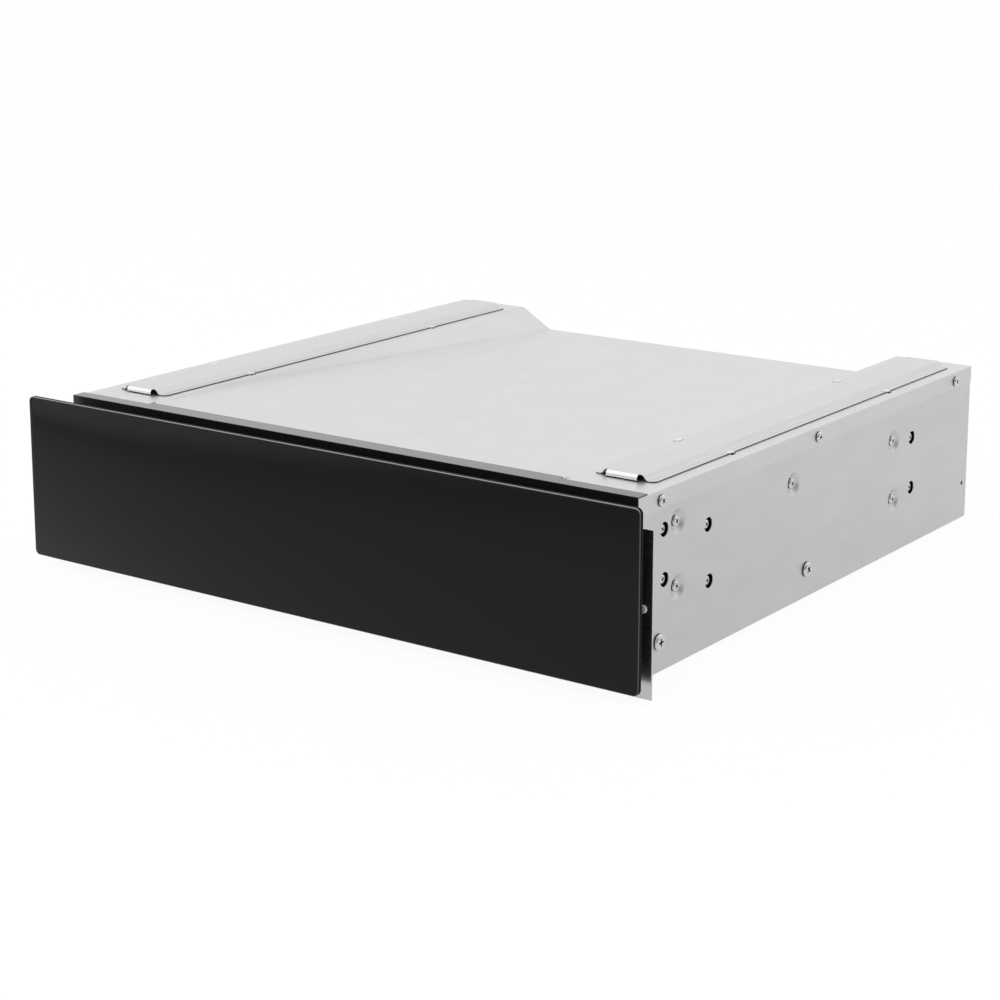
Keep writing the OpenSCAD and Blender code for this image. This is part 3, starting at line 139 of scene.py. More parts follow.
def pick_edges(piece, test):
    """Selects in edit mode the edges whose two ends pass the test."""
    bpy.ops.object.mode_set(mode="EDIT")
    bpy.ops.mesh.select_mode(type="EDGE")
    bpy.ops.mesh.select_all(action="DESELECT")
    bpy.ops.object.mode_set(mode="OBJECT")
    points = piece.data.vertices
    for edge in piece.data.edges:
        a, b = (points[i].co for i in edge.vertices)
        edge.select = bool(test(a, b))
    bpy.ops.object.mode_set(mode="EDIT")


def pick_faces(piece, test):
    """Selects in edit mode the faces whose centre and normal pass the test."""
    bpy.ops.object.mode_set(mode="EDIT")
    bpy.ops.mesh.select_mode(type="FACE")
    bpy.ops.mesh.select_all(action="DESELECT")
    bpy.ops.object.mode_set(mode="OBJECT")
    for face in piece.data.polygons:
        face.select = bool(test(face.center, face.normal))
    bpy.ops.object.mode_set(mode="EDIT")


def apply(piece, kind, **settings):
    """Adds a modifier with its settings and applies it."""
    only(piece)
    modifier = piece.modifiers.new(kind.lower(), kind)
    for key, value in settings.items():
        setattr(modifier, key, value)
    bpy.ops.object.modifier_apply(modifier=modifier.name)


def shade(piece, angle=35):
    """Shades a piece smooth, but for the edges sharper than an angle."""
    only(piece)
    bpy.ops.object.shade_smooth_by_angle(angle=math.radians(angle))


def paint(piece, index, test):
    """Gives the faces whose centre and normal pass the test another of the piece's materials."""
    for face in piece.data.polygons:
        if test(face.center, face.normal):
            face.material_index = index


def belongs(piece, body, slot, *nodes):
    """Says which body a piece moves with and the solids that it stands for. The slot, its finish, is not
    used.
    """
    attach(piece, body)
    if nodes:
        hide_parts(*nodes)


def finished(node, finish):
    """Gives a solid that stays as it is its one material."""
    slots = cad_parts[node].data.materials
    slots.clear()
    slots.append(finish)


def formed(node, name, body, slot, finishes, folds=(), ease=0.00022, angle=40, smooth=35):
    """Copies a solid as a piece, rounds its folds, each a test and a radius, and eases its edges."""
    piece = bpy.data.objects.new(name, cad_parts[node].data.copy())
    bpy.context.collection.objects.link(piece)
    piece.data.materials.clear()
    for finish in finishes:
        piece.data.materials.append(finish)
    paint(piece, 0, lambda c, n: True)
    only(piece)
    bpy.ops.object.mode_set(mode="EDIT")
    bpy.ops.mesh.select_all(action="SELECT")
    bpy.ops.mesh.remove_doubles(threshold=0.00001)
    bpy.ops.mesh.customdata_custom_splitnormals_clear()
    bpy.ops.mesh.dissolve_limited(angle_limit=math.radians(1))
    for test, radius in folds:
        pick_edges(piece, test)
        bpy.ops.mesh.bevel(offset=radius, offset_type="OFFSET", segments=4, affect="EDGES")
    bpy.ops.object.mode_set(mode="OBJECT")
    if ease:
        apply(piece, "BEVEL", width=ease, segments=2, limit_method="ANGLE",
              angle_limit=math.radians(angle), use_clamp_overlap=False)
    shade(piece, smooth)
    apply(piece, "WEIGHTED_NORMAL", keep_sharp=True)
    belongs(piece, body, slot, node)
    return piece


def galvanised(name, low, high):
    """Skin-passed hot-dip galvanised steel: a pale matt grey metal with a very fine even grain. The
    rolling leaves only the faintest mottle, drawn out along the strip, and handling dulls it in places."""
    mat, shader = material(name, Metallic=1.0, Roughness=0.44)
    mottle = grained(mat, 60, (1, 0.3, 1), 4)
    tinted(mat, shader, mottle, low, high, 0.2, 0.8)
    glossed(mat, shader, grained(mat, 22, detail=5), 0.42, 0.46)
    embossed(mat, shader, grained(mat, 1500), 0.22, 0.00003)
    return mat


half_w = 0.2759
depth = 0.5436
height = 0.136
mouth_r = 0.0095
mouth_bend = 0.0009
floor_r = 0.0056
floor_bend = 0.0008
dimple_depth = 0.003
dimples = [((y - 0.5) * depth, z * height) for y, z in
           ((0.100, 0.787), (0.102, 0.428), (0.414, 0.718), (0.730, 0.715), (0.735, 0.343))]


def on_circle(a, b, x, radius):
    """Tells whether an edge is part of a circle round a dimple, in the plane at x on either side."""
    return all(abs(abs(p.x) - x) < 2e-5 for p in (a, b)) and any(
        all(abs(math.hypot(p.y - y, p.z - z) - radius) < 2e-4 for p in (a, b)) for y, z in dimples)


side_zinc = galvanised("skin_passed_galvanised_steel", "#D2D2D3", "#D9D9D9")
# The cover's copy is painted lighter than the sides', a painted highlight for the light that its top and
# flanges catch.
cover_zinc_lit = galvanised("skin_passed_galvanised_cover_steel_painted_lighter", "#D7D8D8", "#DDDDDD")
for side in ("left", "right"):
    formed("housing_side_" + side, "side_sheet_" + side, "housing", "galvanised_sheet", [side_zinc],
           [(lambda a, b: on_circle(a, b, half_w, mouth_r), mouth_bend),
            (lambda a, b: on_circle(a, b, half_w - dimple_depth, floor_r), floor_bend)])
for node, name in (("housing_base", "base_pan"), ("housing_back", "rear_sheet"),
                   ("inner_roof", "drawer_roof"), ("rear_partition", "air_partition")):
    formed(node, name, "housing", "galvanised_sheet", [side_zinc])

# Cover: one sheet that is folded down over the sides and the back, with a shallow recess pressed into
# its middle. Lines beside the recess's foot let that fold shade softly, as a pressed one does. The tabs
# that hold the rails are lanced out of the sheet, so a slot lies beside each, and the punch has
# burnished their bends glossy; they are also painted lighter, a painted highlight. The relief slits in
# front show cut bare steel, dull, and painted dark, a painted shade in the slits.
cover_x = 0.2767
cover_z = height
cover_fold = 0.0017
rail_w = 0.0525
rail_l = 0.483
rail_setback = 0.0405
rail_front = rail_setback - depth / 2
rail_mid = 0.23825
tab_w = 0.007
tab_t = 0.0008
tab_bend_rise = 0.0015
tab_bend = 0.00035
slot_w = 0.0022
slot_cut = 0.004
slot_corner = 0.0008
tab_reach = rail_w / 2 + tab_t + slot_w / 2
tab_shares = {-1: (0.243, 0.775), 1: (0.221, 0.753)}
tab_places = [(sign * rail_mid + edge * tab_reach, rail_front + share * rail_l)
              for sign in (-1, 1) for edge, shares in tab_shares.items() for share in shares]
recess_foot_x = 0.1719
recess_lean = 0.0615
recess_fold = (-0.007, 0.006)
relief_x = 0.2046
relief_half = 0.0012
relief_l = 0.0215
relief_end = relief_l - depth / 2


def on_outer_fold(a, b):
    """Tells whether an edge is an outer fold of the cover or one of its rear corners."""
    along_side = all(abs(abs(p.x) - cover_x) < 1e-5 for p in (a, b))
    along_back = all(abs(p.y - depth / 2) < 1e-5 for p in (a, b))
    on_top = all(abs(p.z - cover_z) < 1e-5 for p in (a, b))
    return on_top and (along_side or along_back) or along_side and along_back


# Zinc for the bends of the tabs and rail lips: glossier, and painted lighter than the sheet, a painted
# highlight.
burnished_highlight, shader = material("burnished_zinc_bend_painted_highlight", Metallic=1.0, Base_Color=linear("#ECECEC"))
glossed(burnished_highlight, shader, grained(burnished_highlight, 1200), 0.20, 0.34)
# Bare steel for cut edges and slits, painted dark, a painted shade on them.
sheared_edge_shade, shader = material("sheared_steel_edge_painted_shade", Metallic=1.0)
shear_marks = grained(sheared_edge_shade, 2400, (1, 1, 0.2))
tinted(sheared_edge_shade, shader, shear_marks, "#3C3C3D", "#747475")
glossed(sheared_edge_shade, shader, shear_marks, 0.45, 0.62)
cover = formed("housing_top", "cover_sheet", "housing", "galvanised_sheet", [cover_zinc_lit, burnished_highlight, sheared_edge_shade],
               [(on_outer_fold, cover_fold),
                (lambda a, b: min(a.z, b.z) > cover_z + tab_bend_rise, tab_bend)])
only(cover)
bpy.ops.object.mode_set(mode="EDIT")
for sign in (-1, 1):
    for offset in recess_fold:
        bpy.ops.mesh.select_all(action="SELECT")
        bpy.ops.mesh.bisect(plane_co=(sign * (recess_foot_x + offset), depth / 2, 0),
                            plane_no=(1, sign * recess_lean, 0))
bpy.ops.object.mode_set(mode="OBJECT")
for x, y in tab_places:
    bpy.ops.mesh.primitive_cube_add(size=1, location=(x, y, cover_z))
    slot = bpy.context.object
    slot.scale = (slot_w, tab_w, slot_cut)
    bpy.ops.object.transform_apply(location=True, rotation=False, scale=True)
    pick_edges(slot, lambda a, b: abs(a.z - b.z) > 0.001)
    bpy.ops.mesh.bevel(offset=slot_corner, offset_type="OFFSET", segments=3, affect="EDGES")
    bpy.ops.object.mode_set(mode="OBJECT")
    apply(cover, "BOOLEAN", operation="DIFFERENCE", object=slot, solver="EXACT")
    bpy.data.objects.remove(slot)
# The raised tabs are painted lighter, a painted highlight; the walls of the relief slits are painted dark, a
# painted shade.
paint(cover, 1, lambda c, n: c.z > cover_z + 0.0003)
paint(cover, 2, lambda c, n: abs(abs(c.x) - relief_x) < relief_half and c.y < relief_end and abs(n.z) < 0.8)
shade(cover)
apply(cover, "WEIGHTED_NORMAL", keep_sharp=True)

# Oven rails: two hat-section strips of 1 mm galvanised steel that the oven stands on. Each is cut on a
# shear and bent from flat strip, its corners are rounded, and a lip is turned down at its front end,
# where the bend is burnished glossy and painted lighter, a painted highlight. Their cut edges are bare
# steel painted dark, a painted shade along them.
rail_rise = 0.004
rail_t = 0.001
rail_fold = 0.0016
rail_corner = 0.005
flat_half = 0.01575
foot_half = 0.01925
lip_half = 0.01325
lip_l = 0.004
lip_fold = 0.0028
lip_drop = rail_rise + 0.0001
rail_steel, shader = material("galvanised_rail_strip", Metallic=1.0)
drawn_lines = grained(rail_steel, 700, (1, 0.03, 1), 4)
tinted(rail_steel, shader, drawn_lines, "#D1D2D2", "#DADADA")
glossed(rail_steel, shader, drawn_lines, 0.36, 0.42)
embossed(rail_steel, shader, drawn_lines, 0.04, 0.00003)
for side, sign in (("left", -1), ("right", 1)):
    mid = sign * rail_mid
    bpy.ops.mesh.primitive_plane_add(size=1, location=(mid, rail_front + rail_l / 2, cover_z + rail_t))
    rail = bpy.context.object
    rail.name = "oven_rail_strip_" + side
    rail.scale = (rail_w, rail_l, 1)
    bpy.ops.object.transform_apply(location=True, rotation=False, scale=True)
    bpy.ops.object.mode_set(mode="EDIT")
    for offset in (-foot_half, -flat_half, -lip_half, lip_half, flat_half, foot_half):
        bpy.ops.mesh.select_all(action="SELECT")
        bpy.ops.mesh.bisect(plane_co=(mid + offset, 0, 0), plane_no=(1, 0, 0))
    pick_edges(rail, lambda a, b: abs(a.y - b.y) < 1e-6 and abs(a.y - rail_front) < 1e-5
               and abs((a.x + b.x) / 2 - mid) < 0.001)
    bpy.ops.mesh.extrude_region_move(TRANSFORM_OT_translate={"value": (0, -lip_l + rail_t / 2, 0)})
    bpy.ops.mesh.extrude_region_move(TRANSFORM_OT_translate={"value": (0, 0, -lip_drop)})
    bpy.ops.object.mode_set(mode="OBJECT")
    for point in rail.data.vertices:
        if abs(point.co.x - mid) < flat_half + 1e-5:
            point.co.z += rail_rise
    pick_edges(rail, lambda a, b: abs(a.x - b.x) < 1e-6 and abs(a.y - b.y) > rail_l / 2
               and flat_half - 1e-4 < abs(a.x - mid) < foot_half + 1e-4)
    bpy.ops.mesh.bevel(offset=rail_fold, offset_type="OFFSET", segments=4, affect="EDGES")
    pick_edges(rail, lambda a, b: abs(a.y - b.y) < 1e-6 and a.y < rail_front - lip_l + rail_t
               and min(a.z, b.z) > cover_z + rail_rise)
    bpy.ops.mesh.bevel(offset=lip_fold, offset_type="OFFSET", segments=8, affect="EDGES")
    bpy.ops.mesh.select_mode(type="VERT")
    bpy.ops.mesh.select_all(action="DESELECT")
    bpy.ops.object.mode_set(mode="OBJECT")
    for point in rail.data.vertices:
        point.select = abs(abs(point.co.x - mid) - rail_w / 2) < 1e-5
    bpy.ops.object.mode_set(mode="EDIT")
    bpy.ops.mesh.bevel(offset=rail_corner, offset_type="OFFSET", segments=6, affect="VERTICES")
    bpy.ops.object.mode_set(mode="OBJECT")
    for finish in (rail_steel, sheared_edge_shade, burnished_highlight):
        rail.data.materials.append(finish)
    # The rim faces take the dark edge steel, a painted shade along the cut edges.
    apply(rail, "SOLIDIFY", thickness=rail_t, offset=-1, use_even_offset=True, material_offset_rim=1)
    # The front of the lip's bend is painted lighter, a painted highlight.
    paint(rail, 2, lambda c, n: c.y < rail_front + 0.0002 and n.y < -0.25 and n.z > -0.1
          and abs(c.x - mid) < lip_half - 0.0002)
    apply(rail, "BEVEL", width=0.00012, segments=1, limit_method="ANGLE", angle_limit=math.radians(50),
          use_clamp_overlap=False, material=0)
    shade(rail, 40)
    belongs(rail, "housing", "rail_steel", "oven_rail_" + side)

# Front trim: a black angle over the front edge of the cover, bent from steel strip and coated with a
# satin powder, which shows grey on top where it catches the light and nearly black in front.
trim_coat, shader = material("satin_black_powder_coat", Roughness=0.24, Base_Color=linear("#1A1A1C"),
                             Coat_Weight=0.5, Coat_Roughness=0.22)
embossed(trim_coat, shader, grained(trim_coat, 900), 0.16, 0.00004)
formed("front_trim", "front_trim_angle", "housing", "trim_black", [trim_coat], ease=0.0003)

# Screws: zinc-plated pan-head screws with a cross recess. Small ones hold the cover, larger ones the
# base, and the ones in the dimples and behind the round holes hold the runners. The recess and a ring
# round the foot of each head are painted dark, a painted shade.
zinc, shader = material("bright_zinc_plating", Metallic=1.0, Base_Color=linear("#DADBDC"))
glossed(zinc, shader, grained(zinc, 900, detail=3), 0.12, 0.20)
# Dark steel for the cross recess and the foot of each head, a painted shade.
recess_shade, shader = material("screw_recess_painted_shade", Metallic=1.0)
recess_shade_grain = grained(recess_shade, 1500)
tinted(recess_shade, shader, recess_shade_grain, "#242425", "#4C4C4E")
glossed(recess_shade, shader, recess_shade_grain, 0.4, 0.6)


def pan_screw(head_r, head_h, shank_r, shank_l, crossed=True):
    """Models a pan-head screw or rivet upright with its seat at the origin."""
    crown = head_h * 0.68
    arm_w = head_r * 0.3
    arm_l = head_r * 0.46
    bit_l = head_h * 1.4
    bit_taper = 0.6
    recess_floor = head_h * 0.33
    bpy.ops.mesh.primitive_cylinder_add(vertices=32, radius=head_r, depth=head_h, location=(0, 0, head_h / 2))
    screw = bpy.context.object
    bpy.ops.object.transform_apply(location=True, rotation=False, scale=False)
    screw.data.materials.append(zinc)
    screw.data.materials.append(recess_shade)
    pick_faces(screw, lambda c, n: n.z > 0.9)
    bpy.ops.mesh.bevel(offset=crown, offset_type="OFFSET", segments=6, affect="EDGES")
    bpy.ops.object.mode_set(mode="OBJECT")
    pick_faces(screw, lambda c, n: n.z < -0.9)
    bpy.ops.mesh.inset(thickness=head_r - shank_r)
    bpy.ops.mesh.extrude_region_move(TRANSFORM_OT_translate={"value": (0, 0, -shank_l)})
    bpy.ops.object.mode_set(mode="OBJECT")
    if crossed:
        bpy.ops.mesh.primitive_cube_add(size=1, location=(0, 0, head_h))
        bit = bpy.context.object
        bit.scale = (arm_w, arm_w, bit_l)
        bpy.ops.object.transform_apply(location=False, rotation=False, scale=True)
        for axis in range(2):
            for sign in (-1, 1):
                pick_faces(bit, lambda c, n: n[axis] * sign > 0.9 and abs(c[1 - axis]) < 1e-6)
                reach = [0, 0, 0]
                reach[axis] = sign * arm_l
                bpy.ops.mesh.extrude_region_move(TRANSFORM_OT_translate={"value": reach})
                bpy.ops.object.mode_set(mode="OBJECT")
        pick_edges(bit, lambda a, b: a.z < 0 and b.z < 0)
        bpy.ops.transform.resize(value=(bit_taper, bit_taper, 1))
        bpy.ops.object.mode_set(mode="OBJECT")
        bit.rotation_euler = (0, 0, math.radians(3))
        bpy.ops.object.transform_apply(location=True, rotation=True, scale=False)
        # The cutter's dark material goes onto the walls of the cross, a painted shade in the recess.
        bit.data.materials.append(recess_shade)
        apply(screw, "BOOLEAN", operation="DIFFERENCE", object=bit, solver="EXACT", material_mode="TRANSFER")
        bpy.data.objects.remove(bit)
        # The low wall round the foot of the head is painted dark, a painted shadow ring.
        paint(screw, 1, lambda c, n: 0 < c.z < recess_floor and abs(n.z) < 0.3)
    shade(screw, 28)
    return screw


def set_of(name, pattern, places, body, slot, node):
    """Copies a pattern to each place, given as its seat and its outward axis, and joins the copies. Each
    is driven home at another angle."""
    first_angle = 20
    next_angle = 37
    copies = []
    for seat, axis in places:
        copy = bpy.data.objects.new(name, pattern.data.copy())
        turn = Vector((0, 0, 1)).rotation_difference(Vector(axis)).to_matrix().to_4x4()
        roll = Matrix.Rotation(math.radians(next_angle * len(copies) + first_angle), 4, "Z")
        copy.data.transform(Matrix.Translation(seat) @ turn @ roll)
        bpy.context.collection.objects.link(copy)
        copies.append(copy)
    bpy.data.objects.remove(pattern)
    bpy.ops.object.select_all(action="DESELECT")
    for copy in copies:
        copy.select_set(True)
    bpy.context.view_layer.objects.active = copies[0]
    bpy.ops.object.join()
    copies[0].name = name
    belongs(copies[0], body, slot, node)


def on_sides(seat_x, shares):
    """Lists places on both sides from shares of the housing's depth and height."""
    return [((sign * seat_x, (y - 0.5) * depth, z * height), (sign, 0, 0))
            for sign in (-1, 1) for y, z in shares]


flange_share = 0.9403
rear_screw_x = 0.2373
cover_screw = pan_screw(head_r=0.0044, head_h=0.0022, shank_r=0.0017, shank_l=0.003)
places = on_sides(cover_x, [(y, flange_share) for y in (0.055, 0.482, 0.939)])
places += [((sign * rear_screw_x, depth / 2, flange_share * height), (0, 1, 0)) for sign in (-1, 1)]
set_of("cover_screw_set", cover_screw, places, "housing", "screw_zinc", "cover_screws")
base_screw = pan_screw(head_r=0.0062, head_h=0.0026, shank_r=0.0025, shank_l=0.003)
places = on_sides(half_w, [(y, 0.1691) for y in (0.055, 0.459)])
set_of("base_screw_set", base_screw, places, "housing", "screw_zinc", "base_screws")
bracket_screw = pan_screw(head_r=0.0042, head_h=0.0022, shank_r=0.002, shank_l=0.0028)
places = [((sign * (half_w - dimple_depth), y, z), (sign, 0, 0)) for sign in (-1, 1) for y, z in dimples]
set_of("bracket_screw_set", bracket_screw, places, "housing", "screw_zinc", "bracket_screws")
carrier_head_h = 0.0024
carrier_screw = pan_screw(head_r=0.004, head_h=carrier_head_h, shank_r=0.002, shank_l=0.004)
carrier_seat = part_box("carrier_screws")[1][0] - carrier_head_h
places = on_sides(carrier_seat, [(0.066, 0.774), (0.068, 0.499), (0.178, 0.697),
                                 (0.183, 0.376), (0.791, 0.690), (0.794, 0.368)])
set_of("carrier_screw_set", carrier_screw, places, "housing", "screw_zinc", "carrier_screws")

# Runner hardware: black phosphated brackets behind the dimples, zinc-plated carriers, and ball runners
# of three nested channels rolled from zinc-plated strip. Their cages are punched strip, and the balls
# are ground and polished chrome steel with a film of grease.
bracket_coat, shader = material("black_zinc_phosphate")
phosphate = grained(bracket_coat, 1100, detail=4)
tinted(bracket_coat, shader, phosphate, "#18181A", "#2A2A2C")
glossed(bracket_coat, shader, phosphate, 0.42, 0.6)
plated, shader = material("zinc_plated_rolled_strip", Metallic=1.0)
roll_lines = grained(plated, 500, (1, 0.03, 1), 4)
tinted(plated, shader, roll_lines, "#B9BBBE", "#D2D3D6")
glossed(plated, shader, roll_lines, 0.24, 0.38)
embossed(plated, shader, roll_lines, 0.1, 0.00003)
cage_strip, shader = material("yellow_passivated_cage_strip", Metallic=1.0)
passivation = grained(cage_strip, 260, detail=4)
tinted(cage_strip, shader, passivation, "#B7AF95", "#CFC9B2")
glossed(cage_strip, shader, passivation, 0.3, 0.42)
chrome, shader = material("polished_bearing_steel", Metallic=1.0, Base_Color=linear("#DCDCDE"))
glossed(chrome, shader, grained(chrome, 700), 0.05, 0.14)
for side in ("left", "right"):
    formed("runner_bracket_" + side, "dimple_bracket_" + side, "housing", "bracket_black", [bracket_coat])
    formed("runner_carrier_" + side, "runner_carrier_plate_" + side, "housing", "carrier_zinc", [plated])
    for member, body in (("outer", "housing"), ("middle", "runner_middle_" + side), ("inner", "drawer")):
        formed("runner_%s_%s" % (member, side), "%s_runner_channel_%s" % (member, side), body, "carrier_zinc",
               [plated], ease=0.0003, angle=60)
    for member in ("outer", "inner"):
        cage = "%s_cage_%s" % (member, side)
        formed(cage, "%s_ball_cage_%s" % (member, side), cage, "cage_steel", [cage_strip], ease=0.00012)
        finished("%s_balls_%s" % (member, side), chrome)

# Buffers: turned-in rubber studs in the front flanges that the steel plate closes against. Moulded
# rubber has a dull skin with a fine matt grain.
rubber, shader = material("moulded_black_rubber", Roughness=0.62)
rubber_skin = grained(rubber, 1300, detail=3)
tinted(rubber, shader, rubber_skin, "#1A1A1B", "#262628")
embossed(rubber, shader, rubber_skin, 0.3, 0.00005)
formed("stop_buffers", "stop_buffer_set", "housing", "buffer_rubber", [rubber], ease=0.0006, angle=50)

# Air system behind the partition: a galvanised scroll housing round an aluminium drum impeller, a
# shaded-pole motor of varnished laminations with a copper coil, and a tubular heater that the heat
# has turned brown.
formed("fan_housing", "fan_scroll", "housing", "galvanised_sheet", [side_zinc])
pressed, shader = material("pressed_aluminium", Metallic=1.0)
press_marks = grained(pressed, 800, detail=3)
tinted(pressed, shader, press_marks, "#C9CBCF", "#DDDEE1")
glossed(pressed, shader, press_marks, 0.3, 0.42)
turned, shader = material("turned_steel", Metallic=1.0, Base_Color=linear("#C3C4C6"))
turning = grained(turned, 1800, (1, 0.1, 0.1))
glossed(turned, shader, turning, 0.2, 0.34)
finished("fan_impeller", pressed)
finished("fan_rotor", turned)
varnished, shader = material("varnished_laminations", Roughness=0.42, Coat_Weight=0.4)
stack = grained(varnished, 1300, (1, 0.02, 0.02))
tinted(varnished, shader, stack, "#2B2C30", "#4A4B50")
embossed(varnished, shader, stack, 0.5, 0.0001)
copper, shader = material("enamelled_copper_winding", Metallic=1.0)
windings = grained(copper, 1200, (1, 0.05, 0.05))
tinted(copper, shader, windings, "#8E4A2A", "#C4764A")
glossed(copper, shader, windings, 0.25, 0.4)
motor = formed("fan_motor", "shaded_pole_motor", "housing", "motor_steel", [varnished, copper, plated])
motor_lo, motor_hi = (Vector(v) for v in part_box("fan_motor"))
coil_share = 0.42
coil_end = motor_lo.y + (motor_hi.y - motor_lo.y) * coil_share
bearing_l = 0.003
paint(motor, 1, lambda c, n: c.y < coil_end and abs(n.x) < 0.3
      and math.hypot(n.y, n.z) > 0.9 and 0.05 < abs(n.y) < 0.999)
paint(motor, 2, lambda c, n: c.x > motor_hi.x - bearing_l)
incoloy, shader = material("heat_browned_heater_sheath", Metallic=1.0)
scale_bloom = grained(incoloy, 160, detail=5)
tinted(incoloy, shader, scale_bloom, "#4A4038", "#6E655C")
glossed(incoloy, shader, scale_bloom, 0.4, 0.58)
formed("heater_element", "tubular_heater", "housing", "heater_sheath", [incoloy], ease=0.0002, angle=60)

# Electrical parts: a glazed ceramic limiter, a moulded terminal block, a nylon gland, a sleeved loom
# in clips, and a green glass-epoxy board that stands on four posts with its relay and connectors.
glaze, shader = material("glazed_ceramic", Roughness=0.2, Coat_Weight=0.5)
tinted(glaze, shader, grained(glaze, 500, detail=4), "#DED6C2", "#EDE8DA")
formed("temperature_limiter", "ceramic_limiter", "housing", "limiter_ceramic", [glaze, plated], ease=0.0003)
block_plastic, shader = material("moulded_grey_polyamide", Roughness=0.48)
tinted(block_plastic, shader, grained(block_plastic, 400), "#D8D8D4", "#E2E2DE")
embossed(block_plastic, shader, grained(block_plastic, 2200), 0.15, 0.00004)
nylon, shader = material("moulded_black_nylon", Roughness=0.46)
nylon_grain = grained(nylon, 1500)
tinted(nylon, shader, nylon_grain, "#1C1C1E", "#242427")
embossed(nylon, shader, nylon_grain, 0.25, 0.00005)
sleeve, shader = material("braided_black_glass_sleeve", Roughness=0.66)
braid = grained(sleeve, 1400, (1, 1, 1), 1)
tinted(sleeve, shader, braid, "#161617", "#343436")
embossed(sleeve, shader, braid, 0.6, 0.0002)
silicone, shader = material("red_silicone_insulation", Roughness=0.5)
tinted(silicone, shader, grained(silicone, 300), "#9E1F1B", "#B3302A")
for node, name, slot, finish in (
        ("terminal_block", "mains_terminal_block", "terminal_plastic", block_plastic),
        ("loom_clips", "loom_clip_set", "terminal_plastic", block_plastic),
        ("cable_gland", "mains_cable_gland", "gland_plastic", nylon),
        ("wire_loom", "sleeved_wire_loom", "loom_sheath", sleeve),
        ("control_leads", "control_lead_set", "lead_insulation", silicone)):
    formed(node, name, "housing", slot, [finish], ease=0.0003, angle=50)
laminate, shader = material("green_solder_resist", Roughness=0.32, Coat_Weight=0.5)
tracks = grained(laminate, 260, detail=3)
tinted(laminate, shader, tracks, "#0F4A2E", "#17603D", 0.42, 0.58)
relay_case, shader = material("moulded_component_case", Roughness=0.4)
tinted(relay_case, shader, grained(relay_case, 600), "#24262A", "#303338")
board = formed("control_board", "control_circuit_board", "housing", "board_laminate",
               [laminate, relay_case, block_plastic, plated], ease=0.0003)
board_lo = Vector(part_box("control_board")[0])
post_h = 0.0049
laminate_rise = 0.0066
connector_l = 0.0072
laminate_top = board_lo.z + laminate_rise + 0.0001
paint(board, 1, lambda c, n: c.z > laminate_top)
paint(board, 2, lambda c, n: c.z > laminate_top and c.y < board_lo.y + connector_l)
paint(board, 3, lambda c, n: c.z < board_lo.z + post_h)

# Controls behind the glass: a fluted ABS knob with a white pointer on its turned shaft, an amber
# pilot lamp with a moulded lens, and a rocker switch in a glossy black frame.
selector_case, shader = material("moulded_blue_phenolic", Roughness=0.45)
tinted(selector_case, shader, grained(selector_case, 600), "#27425C", "#31506E")
formed("selector_body", "selector_case", "housing", "selector_plastic", [selector_case])
finished("selector_shaft", turned)
abs_grain, shader = material("fine_grained_black_abs", Roughness=0.44)
spark_texture = grained(abs_grain, 1700)
tinted(abs_grain, shader, spark_texture, "#1E1E20", "#272729")
embossed(abs_grain, shader, spark_texture, 0.3, 0.00005)
pointer_paint, shader = material("white_pad_printed_line", Roughness=0.4)
tinted(pointer_paint, shader, grained(pointer_paint, 900), "#E4E4E2", "#F0F0EE")
knob = formed("temperature_knob", "temperature_knob_cap", "knob", "knob_plastic", [abs_grain, pointer_paint],
              ease=0.00025, angle=50)
knob_lo, knob_hi = (Vector(v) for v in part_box("temperature_knob"))
knob_x = (knob_lo.x + knob_hi.x) / 2
knob_z = (knob_lo.z + knob_hi.z) / 2
line_half = 0.00045
line_depth = 0.002
paint(knob, 1, lambda c, n: abs(c.x - knob_x) < line_half and c.z > knob_z + 0.0002
      and knob_lo.y + 0.0001 < c.y < knob_lo.y + line_depth)
lens, shader = material("amber_moulded_lens", Roughness=0.12, IOR=1.49, Transmission_Weight=0.35,
                        Base_Color=linear("#E0561A"), Coat_Weight=0.5)
lens_place = add(lens, "TexCoord").outputs["Object"]
lens_prisms = add(lens, "TexVoronoi", {"Vector": lens_place, "Scale": 900}).outputs[0]
embossed(lens, shader, lens_prisms, 0.3, 0.0001)
formed("pilot_lamp", "pilot_lamp_lens", "housing", "lamp_lens", [lens], ease=0.0002)
gloss_frame, shader = material("glossy_black_switch_frame", Base_Color=linear("#141416"))
glossed(gloss_frame, shader, grained(gloss_frame, 200), 0.14, 0.22)
formed("switch_body", "rocker_switch_frame", "housing", "switch_plastic", [gloss_frame], ease=0.0003)
gloss_rocker, shader = material("glossy_grey_switch_rocker", Base_Color=linear("#C9C9CB"))
glossed(gloss_rocker, shader, grained(gloss_rocker, 200), 0.18, 0.26)
formed("switch_rocker", "rocker_switch_key", "rocker", "rocker_plastic", [gloss_rocker], ease=0.0004)

# Tray: an open box of 1 mm stainless steel with a satin finish. Its walls are folded up with a soft
# radius and its rim is turned in, and slots in its rear wall let the warm air in.
satin, shader = material("satin_stainless_steel", Metallic=1.0, Anisotropic=0.3)
satin_lines = grained(satin, 900, (0.03, 0.03, 1), 3)
tinted(satin, shader, satin_lines, "#BDBEC0", "#CDCED0")
glossed(satin, shader, satin_lines, 0.28, 0.38)
embossed(satin, shader, satin_lines, 0.08, 0.00002)
tray_lo, tray_hi = (Vector(v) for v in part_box("tray"))
wall_t = 0.001
outer_fold = 0.0014
inner_fold = 0.0007


def on_box_corner(a, b, inset):
    """Tells whether an edge runs along a corner of the tray's box, at an inset from its outside."""
    shared = 0
    for axis in range(3):
        for plane in (tray_lo[axis] + inset, tray_hi[axis] - inset):
            shared += all(abs(p[axis] - plane) < 1e-5 for p in (a, b))
    return shared >= 2 and (a - b).length > 0.01


